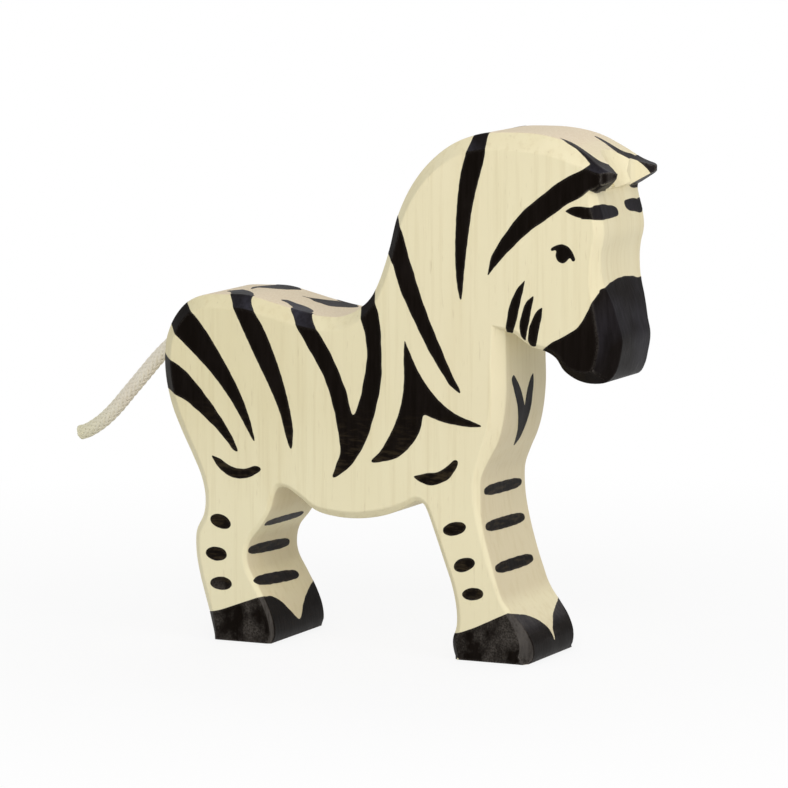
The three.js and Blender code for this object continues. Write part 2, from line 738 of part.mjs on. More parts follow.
// A solid from layers of one loop, closed by a flat cap at each end.
function stackSolid(layers, toSpace) {
  const count = layers[0].length;
  const positions = layers.flat().flatMap((p) => toSpace(p.a, p.b, p.depth));
  const faces = [];
  for (let layer = 0; layer + 1 < layers.length; layer += 1) {
    for (let i = 0; i < count; i += 1) {
      const [low, lowNext] = [layer * count + i, layer * count + ((i + 1) % count)];
      const [high, highNext] = [low + count, lowNext + count];
      faces.push([low, lowNext, highNext], [low, highNext, high]);
    }
  }
  faces.push(...capFaces(layers[0], 0, 1));
  faces.push(...capFaces(layers.at(-1), (layers.length - 1) * count, -1));
  return toSolid(positions, faces);
}

function capFaces(layer, first, turn) {
  const flat = layer.map((p) => new THREE.Vector2(p.a, p.b));
  const faces = THREE.ShapeUtils.triangulateShape(flat, []);
  const area = faces.reduce((sum, face) => sum + THREE.ShapeUtils.area(face.map((i) => flat[i])), 0);
  return faces.map(([i, j, k]) =>
    area * turn > 0 ? [first + i, first + j, first + k] : [first + i, first + k, first + j],
  );
}

function toSolid(positions, faces) {
  const [a, b, c] = [new THREE.Vector3(), new THREE.Vector3(), new THREE.Vector3()];
  const volume = faces.reduce((sum, [i, j, k]) => {
    a.fromArray(positions, 3 * i);
    b.fromArray(positions, 3 * j);
    c.fromArray(positions, 3 * k);
    return sum + a.dot(b.cross(c));
  }, 0);
  const facing = volume < 0 ? faces.map(([i, j, k]) => [i, k, j]) : faces;
  return new wasm.Manifold(
    new wasm.Mesh({
      numProp: 3,
      vertProperties: new Float32Array(positions),
      triVerts: new Uint32Array(facing.flat()),
    }),
  );
}

function geometrySolid(geometry) {
  geometry.deleteAttribute("normal");
  geometry.deleteAttribute("uv");
  const merged = mergeVertices(geometry, PAINT_DEPTH / 1000);
  const positions = Array.from(merged.attributes.position.array);
  const faces = [];
  for (let i = 0; i < merged.index.count; i += 3) {
    faces.push(Array.from(merged.index.array.slice(i, i + 3)));
  }
  return toSolid(positions, faces.filter(([i, j, k]) => i !== j && j !== k && k !== i));
}

// A straight prism of one loop between two depths.
function prism(loop, low, high, toSpace) {
  return stackSolid(
    [low, high].map((depth) => loop.map((p) => ({ a: p.a, b: p.b, depth }))),
    toSpace,
  );
}

// The bevelled board with its scoop, everywhere taken in by the given skin.
function boardSolid(skin) {
  const loop = boardLoop();
  const slantOf = (p) => Math.hypot(p.bevel, p.across);
  const flatInset = (p) => p.bevel + (skin * (slantOf(p) - p.bevel)) / p.across;
  const rimDepth = (p) => p.across + (skin * (slantOf(p) - p.across)) / p.bevel;
  const flat = insetLoop(loop, flatInset);
  const rim = skin > 0 ? insetLoop(loop, () => skin) : loop;
  const atDepth = (points, depthOf) => points.map((p) => ({ ...p, depth: depthOf(p) }));
  const board = stackSolid(
    [
      atDepth(flat, () => skin - HALF_THICKNESS),
      atDepth(rim, (p) => rimDepth(p) - HALF_THICKNESS),
      atDepth(rim, (p) => HALF_THICKNESS - rimDepth(p)),
      atDepth(flat, () => HALF_THICKNESS - skin),
    ],
    fromSide,
  );
  return board.subtract(scoopSolid(skin));
}

// What parts the two ears: a roller, and a cut that rounds each ear's inner corner.
function partingSolid(skin) {
  const radius = SCOOP_RADIUS + skin;
  const roller = new THREE.CylinderGeometry(radius, radius, SCOOP_LENGTH, SCOOP_SIDES);
  roller.rotateX(Math.PI / 2);
  roller.translate(SCOOP_RADIUS, 0, 0);
  roller.rotateY(-SCOOP_LEAN);
  const [x, z] = SCOOP_PLACE_SHARES;
  roller.translate(alongBody(x), acrossBody(SCOOP_SHIFT_SHARE), upBody(z));
  return geometrySolid(roller).add(cornerCuts(EAR_INNER_SHARES, skin));
}

// Upright cuts on both ears, from a loop of shares seen from above.
function cornerCuts(shares, skin) {
  const [low, high] = [upBody(EAR_FLOOR_SHARE) - skin, BODY_HEIGHT + CUT_OVERRUN];
  const [right, left] = [-1, 1].map((side) => {
    const place = (a, b) => ({ a: alongBody(a), b: side * b * HALF_THICKNESS });
    return prism(insetClockwise(markLoop(shares, place), () => -skin), low, high, fromAbove);
  });
  return right.add(left);
}

// The whole scoop, with the cuts that round the ears' outer corners.
function scoopSolid(skin) {
  return partingSolid(skin).add(cornerCuts(EAR_CORNER_SHARES, skin));
}

// A cylinder along the tail's bore; distances run outwards from the mouth of the bore.
function boreCylinder(radius, from, to) {
  const cylinder = new THREE.CylinderGeometry(radius, radius, to - from, BORE_SIDES);
  cylinder.rotateZ(Math.PI / 2);
  cylinder.translate(-(from + to) / 2, 0, 0);
  cylinder.rotateY(-BORE_SLOPE);
  cylinder.translate(mouth.x, mouth.y, mouth.z);
  return geometrySolid(cylinder);
}

// Painted marks

// Each mark's stencil, grown by the given amount: where it reaches in from the flank, the top and
// the front of the board. Side is -1 on the animal's right and 1 on its left.
function flankStencil(mark, side, grow) {
  const own = { shiftShare: 0, ...mark, ...(side > 0 ? mark.left : {}) };
  const shrink = () => -grow;
  const outer = HALF_THICKNESS + CUT_OVERRUN;
  const inner = HALF_THICKNESS - mark.wrap - grow;
  const onSide = (x, z) => ({ a: alongBody(x + own.shiftShare), b: upBody(z) });
  const sideLoop = markLoop(own.sideShares, onSide);
  let stencil = prism(insetClockwise(sideLoop, shrink), side * outer, side * inner, fromSide);
  if (own.planShares) {
    const halfFlat = HALF_THICKNESS - EDGE_WRAP;
    const plan = markLoop(own.planShares, (x, y) => ({ a: alongBody(x), b: -side * y * halfFlat }));
    const [low, high] = [upBody(mark.planFloorShare) - grow, BODY_HEIGHT + CUT_OVERRUN];
    stencil = stencil.add(prism(insetClockwise(plan, shrink), low, high, fromAbove));
  }
  if (mark.rimKept) {
    stencil = stencil.subtract(partingSolid(RIM_WIDTH - grow));
  }
  if (own.frontShares) {
    const front = markLoop(own.frontShares, (y, z) => ({ a: -side * acrossBody(y), b: upBody(z) }));
    const face = alongBody(FACE_PLACE_SHARE);
    stencil = stencil.add(
      prism(insetClockwise(front, shrink), face - CUT_OVERRUN, face + 2 * CUT_OVERRUN, fromFront),
    );
  }
  return stencil;
}

function insetClockwise(loop, widthOf) {
  const flat = loop.map((p) => new THREE.Vector2(p.a, p.b));
  return insetLoop(THREE.ShapeUtils.isClockWise(flat) ? loop : [...loop].reverse(), widthOf);
}

// A rounded loop round a centre: an oval where the squareness is 2, with fuller ends above that.
function ovalLoop(centre, length, height, tilt, squareness) {
  const full = (value) => Math.sign(value) * Math.abs(value) ** (2 / squareness);
  return Array.from({ length: DAB_SIDES }, (_, index) => {
    const turn = (-2 * Math.PI * index) / DAB_SIDES;
    const [along, up] = [(length / 2) * full(Math.cos(turn)), (height / 2) * full(Math.sin(turn))];
    return {
      a: centre.a + along * Math.cos(tilt) - up * Math.sin(tilt),
      b: centre.b + along * Math.sin(tilt) + up * Math.cos(tilt),
    };
  });
}

function dabStencil(dab, side, grow) {
  const [x, z] = dab.centreShares;
  const length = SIDE_DAB_LENGTH * dab.lengthShare + 2 * grow;
  const height = SIDE_DAB_HEIGHT * dab.heightShare + 2 * grow;
  const tilt = THREE.MathUtils.degToRad(dab.tilt);
  const loop = ovalLoop({ a: alongBody(x), b: upBody(z) }, length, height, tilt, DAB_SQUARENESS);
  const outer = HALF_THICKNESS + CUT_OVERRUN;
  const inner = HALF_THICKNESS - FLAT_WRAP - grow;
  return prism(loop, side * outer, side * inner, fromSide);
}

function barStencil(bar, grow) {
  const centre = { a: acrossBody(bar.shiftShare), b: upBody(bar.zShare) };
  const length = acrossBody(BAR_LENGTH_SHARE) * bar.lengthShare + 2 * grow;
  const height = BAR_HEIGHT * bar.heightShare + 2 * grow;
  const tilt = THREE.MathUtils.degToRad(bar.tilt);
  const face = alongBody(bar.xShare);
  return prism(
    ovalLoop(centre, length, height, tilt, BAR_SQUARENESS),
    face - CUT_OVERRUN,
    face + CUT_OVERRUN,
    fromFront,
  );
}

function chestStencil(grow) {
  const loop = markLoop(CHEST_FORK_SHARES, (y, z) => ({ a: acrossBody(y), b: upBody(z) }));
  const face = alongBody(CHEST_PLACE_SHARE);
  return prism(
    insetClockwise(loop, () => -grow),
    face - 2 * CUT_OVERRUN,
    face + CUT_OVERRUN,
    fromFront,
  );
}

function muzzleStencil(grow) {
  const loop = markLoop(MUZZLE_SHARES, (x, z) => ({ a: alongBody(x), b: upBody(z) }));
  const dome = markLoop(MUZZLE_DOME_SHARES, (y, z) => ({ a: acrossBody(y), b: upBody(z) }));
  const reach = HALF_THICKNESS + CUT_OVERRUN;
  const face = alongBody(FACE_PLACE_SHARE);
  const shrink = () => -grow;
  return prism(insetClockwise(loop, shrink), -reach, reach, fromSide).add(
    prism(insetClockwise(dome, shrink), face - CUT_OVERRUN, face + CUT_OVERRUN, fromFront),
  );
}

// A hoof's coat ends a little above the floor, so that the wood carries the figure.
function hoofStencil(hoof, grow) {
  const top = hoof.topShares.map(([x, z]) => ({ a: alongBody(x), b: upBody(z) + grow }));
  const foot = HOOF_FOOT - grow;
  const loop = [
    ...sampleRun(top, MARK_STEP),
    top.at(-1),
    { a: top.at(-1).a, b: foot },
    { a: top[0].a, b: foot },
  ];
  const reach = HALF_THICKNESS + CUT_OVERRUN;
  const notch = markLoop(hoof.notchShares, (y, z) => ({ a: acrossBody(y), b: upBody(z) }));
  const face = alongBody(hoof.notchPlaceShare);
  return prism(loop, -reach, reach, fromSide).subtract(
    prism(
      insetClockwise(notch, () => grow),
      face - CUT_OVERRUN,
      face + 2 * CUT_OVERRUN,
      fromFront,
    ),
  );
}

// Every painted mark as its name and a function that gives its stencil, grown or not.
function allMarks() {
  const sides = [
    ["right", -1],
    ["left", 1],
  ];
  const paired = sides.flatMap(([word, side]) => [
    ...FLANK_MARKS.map((mark) => [word + "_" + mark.name, (grow) => flankStencil(mark, side, grow)]),
    ...SIDE_DABS.map((dab) => [word + "_" + dab.name, (grow) => dabStencil(dab, side, grow)]),
  ]);
  return [
    ...paired,
    ...FRONT_BARS.map((bar) => [bar.name, (grow) => barStencil(bar, grow)]),
    ...HOOVES.map((hoof) => [hoof.name + "_paint", (grow) => hoofStencil(hoof, grow)]),
    ["chest_fork", chestStencil],
    ["muzzle_paint", muzzleStencil],
  ];
}

// Meshes

const MAPLE = { color: 0xe2d9b1, roughness: 0.62, metalness: 0 };
const BLACK_PAINT = { color: 0x14100f, roughness: 0.42, metalness: 0 };
const COTTON = { color: 0xe1dccb, roughness: 0.9, metalness: 0 };
const WOOD_GLUE = { color: 0xd8c78e, roughness: 0.5, metalness: 0 };

function namedMesh(name, solid, look) {
  const { vertProperties, triVerts } = solid.getMesh();
  const geometry = new THREE.BufferGeometry();
  geometry.setAttribute("position", new THREE.BufferAttribute(vertProperties, 3));
  geometry.setIndex(new THREE.BufferAttribute(triVerts, 1));
  geometry.computeVertexNormals();
  const mesh = new THREE.Mesh(geometry, new THREE.MeshStandardMaterial(look));
  mesh.name = name;
  return mesh;
}

function woodMesh(marks) {
  const floor = boardSolid(PAINT_DEPTH + FIT_GAP);
  let wood = boardSolid(0);
  for (const [, stencilOf] of marks) {
    wood = wood.subtract(stencilOf(FIT_GAP).subtract(floor));
  }
  wood = wood.subtract(boreCylinder(BORE_RADIUS, -BORE_DEPTH, CUT_OVERRUN));
  return namedMesh("wood_body", withoutSplinters(wood), MAPLE);
}

// A cut solid without the loose splinters that two cuts can leave where they meet.
function withoutSplinters(solid) {
  return solid.decompose().reduce((main, body) => (body.volume() > main.volume() ? body : main));
}

function paintMeshes(marks) {
  const skin = boardSolid(0).subtract(boardSolid(PAINT_DEPTH));
  return marks.map(([name, stencilOf]) => namedMesh(name, skin.intersect(stencilOf(0)), BLACK_PAINT));
}

function glueMesh() {
  const start = FIT_GAP - BORE_DEPTH;
  return namedMesh("tail_glue", boreCylinder(CORD_RADIUS, start, start + GLUE_LENGTH), WOOD_GLUE);
}

function gluedEndMesh() {
  const start = 2 * FIT_GAP + GLUE_LENGTH - BORE_DEPTH;
  return namedMesh("tail_glued_end", boreCylinder(CORD_RADIUS, start, 0), COTTON);
}

// The free cord: a ball at its root, round which it swings, and a tube along the route.
function cordMesh() {
  const outwards = new THREE.Vector3(-Math.cos(BORE_SLOPE), 0, -Math.sin(BORE_SLOPE));
  const pivot = mouth.clone().addScaledVector(outwards, PIVOT_STAND_OFF);
  const ball = new THREE.SphereGeometry(CORD_RADIUS, CORD_SIDES, CORD_SIDES);
  ball.translate(pivot.x, pivot.y, pivot.z);
  const beyond = CORD_ROUTE.slice(2).map(([x, z]) => new THREE.Vector3(x, 0, z).add(mouth));
  const route = [pivot, ...beyond];
  const section = new THREE.Shape();
  section.absarc(0, 0, CORD_RADIUS, 0, 2 * Math.PI);
  const tube = new THREE.ExtrudeGeometry(section, {
    steps: CORD_STEPS,
    curveSegments: CORD_SIDES,
    bevelEnabled: false,
    extrudePath: new THREE.CatmullRomCurve3(route, false, "centripetal"),
  });
  return namedMesh("tail_cord", geometrySolid(tube).add(geometrySolid(ball)), COTTON);
}

function buildZebra() {
  const marks = allMarks();
  const zebra = new THREE.Group();
  const figure = new THREE.Group();
  const tail = new THREE.Group();
  figure.add(woodMesh(marks), glueMesh(), gluedEndMesh(), ...paintMeshes(marks));
  tail.add(cordMesh());
  zebra.add(figure, tail);
  return zebra;
}

const zebra = buildZebra();

export default zebra;
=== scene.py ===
"""Looks of a wooden zebra: a bevelled maple board, brushed black marks and a braided cord tail."""

import math

import bmesh
import bpy
import numpy as np
from mathutils import Matrix, Vector


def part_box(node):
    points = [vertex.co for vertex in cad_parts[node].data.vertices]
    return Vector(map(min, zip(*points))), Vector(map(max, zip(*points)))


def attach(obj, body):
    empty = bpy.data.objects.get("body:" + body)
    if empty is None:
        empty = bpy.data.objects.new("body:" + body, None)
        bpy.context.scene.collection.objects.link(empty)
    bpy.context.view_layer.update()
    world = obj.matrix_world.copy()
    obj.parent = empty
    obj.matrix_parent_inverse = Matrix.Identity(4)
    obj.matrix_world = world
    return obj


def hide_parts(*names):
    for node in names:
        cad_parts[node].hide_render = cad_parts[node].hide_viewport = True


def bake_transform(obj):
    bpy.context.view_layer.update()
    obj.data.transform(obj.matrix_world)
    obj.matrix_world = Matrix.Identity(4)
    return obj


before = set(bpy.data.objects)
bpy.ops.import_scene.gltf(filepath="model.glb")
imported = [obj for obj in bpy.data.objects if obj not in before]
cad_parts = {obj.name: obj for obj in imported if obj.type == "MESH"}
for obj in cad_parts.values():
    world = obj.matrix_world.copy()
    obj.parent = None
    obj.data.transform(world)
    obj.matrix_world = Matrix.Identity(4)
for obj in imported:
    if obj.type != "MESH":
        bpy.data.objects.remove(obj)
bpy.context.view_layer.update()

# Sizes in metres. The board's come from the frame, the rest repeat the part's source.
LOW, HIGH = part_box("wood_body")
LENGTH = HIGH.x - LOW.x
HEIGHT = HIGH.z - LOW.z
THICKNESS = HIGH.y - LOW.y
HALF = THICKNESS / 2
MM = 0.001
EDGE_BEVEL = 3.2 * MM
EDGE_WRAP = 1.32 * EDGE_BEVEL
FLAT_WRAP = 1.2 * MM
OVERRUN = 4 * MM
CORD_DIAMETER = 3.9 * MM
BORE_DEPTH = 14 * MM
BORE_SLOPE = math.radians(20)
BORE_RADIUS = 2.15 * MM
SCOOP_RADIUS = 9.5 * MM
SCOOP_LENGTH = 26 * MM
SCOOP_LEAN = math.radians(25)
DAB_LENGTH = 6 * MM
DAB_HEIGHT = 3.3 * MM
DAB_SQUARENESS = 2
BAR_LENGTH = 0.8 * THICKNESS
BAR_HEIGHT = 2.9 * MM
BAR_SQUARENESS = 3
HOOF_FOOT = 0.02 * MM

# Shares of the body's sizes
FACE_PLACE = 0.965
CHEST_PLACE = 0.76
EAR_FLOOR = 0.88
SCOOP_PLACE = (0.9497, 0.923)
SCOOP_SHIFT = -0.02
MOUTH_PLACE = (0.0065, 0.5823)

# Fineness and finish
OUTLINE_STEP = 0.9 * MM
MARK_STEP = 0.4 * MM
ROUTE_STEP = 0.2 * MM
SCOOP_SIDES = 192
BORE_SIDES = 64
DAB_SIDES = 48
EDGE_ROUND = 0.9 * MM
EDGE_TANGENT = 0.414  # of the rounding, where the surface turns by 45 degrees
EDGE_ROOM = 0.42  # of the bevel's face, at most, for each rounding
ARC_STEPS = 3
MERGE_WIDTH = 0.004 * MM
SLIVER_WIDTH = 0.002 * MM
SHARP_ANGLE = math.radians(32)
FLAT_WEIGHT = 80
BRAID_SHARP_ANGLE = math.radians(60)
PAINT_PROUD = 0.05 * MM
PAINT_SUNK = 0.04 * MM
BRUSH_STEP = 0.35 * MM
BRUSH_LEAST = 24
BRUSH_SMOOTHINGS = 3
BRUSH_PERIOD = 5 * MM
BRUSH_WOBBLE = 0.045 * MM

# Insetting a loop
LONGEST_MITRE = 3
STRAIGHT_TURN = 0.03
FOLDED_SHARE = 0.04
UNFOLD_ROUNDS = 40

# The braid
STRANDS = 16
STRAND_RADIUS = 0.34 * MM
STRAND_SIDES = 8
STRAND_WIDE = 1.3
STRAND_THICK = 0.62
BRAID_PITCH = 15 * MM
BRAID_STEP = 0.35 * MM
WEAVE_DEPTH = 0.09 * MM
CORE_SIDES = 24
CORE_SUNK = 0.36 * MM
CUT_END_LENGTH = 0.5 * MM
CUT_END_SUNK = 0.08 * MM
GLUE_ROOM = 3 * MM
GLUED_STEPS = 40

# The photograph's view: 25 degrees to the front of the right side, a little above
LENS, SENSOR = 249.8, 36.0
VIEW_TARGET = Vector((-0.0036, 0, 0.06268))
VIEW_AZIMUTH = math.radians(25.15)
VIEW_ELEVATION = math.radians(7.57)
VIEW_DISTANCE = 1.3584
VIEW_CLIP = 50

# Light: the world's even strength, and lamps as name, place, size, power and colour
AMBIENT = 0.55
LAMP_AIM = Vector((0, 0, 0.06))
LAMPS = [
    ("key", (0.2, -0.6, 0.5), 0.4, 2.0, (1.0, 1.0, 1.0)),
    ("fill", (0.46, -0.16, 0.36), 0.3, 0.68, (1.0, 0.95, 0.965)),
    ("back", (-0.3, 1.2, 1.3), 1.0, 4.8, (1.0, 1.0, 1.0)),
]

# The floor: how white it is seen near the figure, and between which distances it turns white
FLOOR_SIZE = 16
FLOOR_DROP = 0.0002
FLOOR_COLOUR = (0.8, 0.8, 0.8, 1)
FLOOR_WHITE = 0.86
FLOOR_NEAR, FLOOR_FAR = 0.08, 0.30

# Heights between which the looks change, in metres, each as the place of 0 and of 1
RUMP_UP = (0.035, 0.06)
LEG_DOWN = (0.060, 0.035)
NARROW_DOWN = (0.075, 0.055)
FACE_UP = (0.055, 0.075)
DAB_DOWN = (0.062, 0.046)
DAB_UP = (0.0125, 0.0165)
HOOF_DOWN = (0.0165, 0.0125)
MUZZLE_UP = (0.078, 0.088)
RIM_UP = (0.1150, 0.1160)
RIM_DOWN = (0.1195, 0.1185)

# The outline: shares of the body's length and height, then the bevel's width on the side face
# and, where that differs, its width across the thickness, as shares of EDGE_BEVEL
OUTLINE = [
  # rear hoof, rump, back, neck and crest
  [
    (0.123, 0, 0.2), (0.1171, 0.0163, 0.4), (0.1063, 0.0471, 0.6), (0.0943, 0.0855, 0.6),
    (0.0821, 0.1279, 0.6), (0.0748, 0.1691, 0.6), (0.0762, 0.209, 0.6), (0.0923, 0.2412, 0.6),
    (0.0961, 0.273, 0.6), (0.0867, 0.3119, 0.7), (0.0663, 0.3517, 0.8), (0.0375, 0.4025, 0.9),
    (0.0146, 0.4504, 1), (0.002, 0.5034, 1), (0, 0.548, 1), (0.005, 0.5823, 1),
    (0.0236, 0.6203, 1), (0.0541, 0.6508, 1), (0.0925, 0.6654, 1), (0.1373, 0.6685, 1),
    (0.1895, 0.6688, 1), (0.2427, 0.6584, 1), (0.2961, 0.6466, 1), (0.3531, 0.6372, 1),
    (0.398, 0.638, 1), (0.432, 0.65, 0.9), (0.4661, 0.6749, 0.7), (0.4853, 0.7079, 0.7),
    (0.508, 0.7686, 0.7), (0.5261, 0.8353, 0.8), (0.5552, 0.8931, 0.9), (0.5939, 0.9389, 1),
    (0.6449, 0.9753, 1.1), (0.7061, 0.9955, 1.2), (0.767, 1, 1.3), (0.8284, 0.9985, 1.3),
    (0.8828, 0.9879, 1.2), (0.9315, 0.9652, 0.9), (0.9672, 0.9438, 0.5), (1, 0.931, 0.1),
  ],
  # blunt tip of the ears
  [(1, 0.931, 0.1), (0.997, 0.9215, 0.1)],
  # underside of the ears, back to the brow
  [(0.997, 0.9215, 0.1), (0.957, 0.896, 0.3)],
  # face, muzzle and jaw
  [
    (0.957, 0.896, 0.5, 0.8), (0.9631, 0.8703, 0.5, 0.8), (0.9707, 0.8424, 0.5, 0.8),
    (0.973, 0.8149, 0.5, 0.8), (0.9658, 0.781, 0.5, 0.8), (0.9657, 0.75, 0.6, 0.9),
    (0.971, 0.7194, 0.8, 1.1), (0.983, 0.6858, 1, 1.5), (0.9931, 0.6466, 1.1, 1.8),
    (1, 0.6176, 1.2, 1.9), (0.9947, 0.582, 1.2, 1.9), (0.9867, 0.5573, 1.2, 1.8),
    (0.9722, 0.5406, 1.1, 1.5), (0.942, 0.537, 1, 1.1), (0.915, 0.5439, 0.8),
    (0.8901, 0.5601, 0.6), (0.8735, 0.5833, 0.5), (0.853, 0.595, 0.4), (0.826, 0.601, 0.4),
    (0.803, 0.613, 0.4), (0.784, 0.625, 0.4), (0.762, 0.628, 0.4),
  ],
  # chest and the front of the front leg
  [
    (0.762, 0.628, 0.8), (0.762, 0.569, 0.9), (0.7629, 0.508, 0.9), (0.7566, 0.4542, 0.9),
    (0.7459, 0.4163, 0.9), (0.7285, 0.3826, 0.7), (0.714, 0.3486, 0.5), (0.7129, 0.3149, 0.5),
    (0.7147, 0.2852, 0.4), (0.7229, 0.2419, 0.3), (0.7366, 0.1949, 0.3), (0.7515, 0.1505, 0.2),
    (0.7655, 0.1179, 0.2), (0.7889, 0.0897, 0.4), (0.8112, 0.0621, 0.6), (0.824, 0.0342, 0.8),
    (0.8237, 0.0118, 0.9), (0.817, 0, 0.9),
  ],
  # front sole
  [(0.817, 0, 0.04), (0.661, 0, 0.04)],
  # heel, belly and the front of the rear leg
  [
    (0.661, 0, 0.4), (0.6536, 0.0173, 0.5), (0.652, 0.0368, 0.5), (0.6595, 0.0617, 0.5),
    (0.6596, 0.0919, 0.5), (0.6508, 0.1348, 0.5), (0.6324, 0.1843, 0.5), (0.6124, 0.2355, 0.5),
    (0.5964, 0.2751, 0.5), (0.5883, 0.2909, 0.4), (0.575, 0.296, 0.4), (0.556, 0.287, 0.4),
    (0.5307, 0.2742, 0.5), (0.4915, 0.2613, 0.6), (0.442, 0.2537, 0.6), (0.3929, 0.2542, 0.6),
    (0.3479, 0.2636, 0.5), (0.312, 0.288, 0.4), (0.285, 0.304, 0.3), (0.268, 0.305, 0.3),
    (0.258, 0.289, 0.3), (0.249, 0.26, 0.3), (0.2261, 0.2254, 0.3), (0.2029, 0.1971, 0.3),
    (0.1961, 0.1685, 0.3), (0.2001, 0.1437, 0.3), (0.2204, 0.1096, 0.3), (0.2415, 0.0734, 0.3),
    (0.2542, 0.042, 0.3), (0.2568, 0.0149, 0.3), (0.25, 0, 0.3),
  ],
  # rear sole
  [(0.25, 0, 0.04), (0.123, 0, 0.04)],
]

# The edges of the ear stripe that both sides share
EAR_STRIPE_TOP = [
  (0.7317, 0.7318), (0.7395, 0.7665), (0.7603, 0.8003), (0.7812, 0.827), (0.8006, 0.8494),
  (0.8225, 0.8685), (0.8445, 0.8845), (0.8661, 0.9008), (0.8893, 0.9165), (0.9197, 0.9317),
  (0.9377, 0.9402),
]
EAR_STRIPE_UNDER = [
  (0.9327, 0.8876), (0.9095, 0.877), (0.8872, 0.8628), (0.8649, 0.8474), (0.8241, 0.8207),
  (0.7995, 0.8005), (0.7594, 0.7626), (0.7421, 0.7432),
]

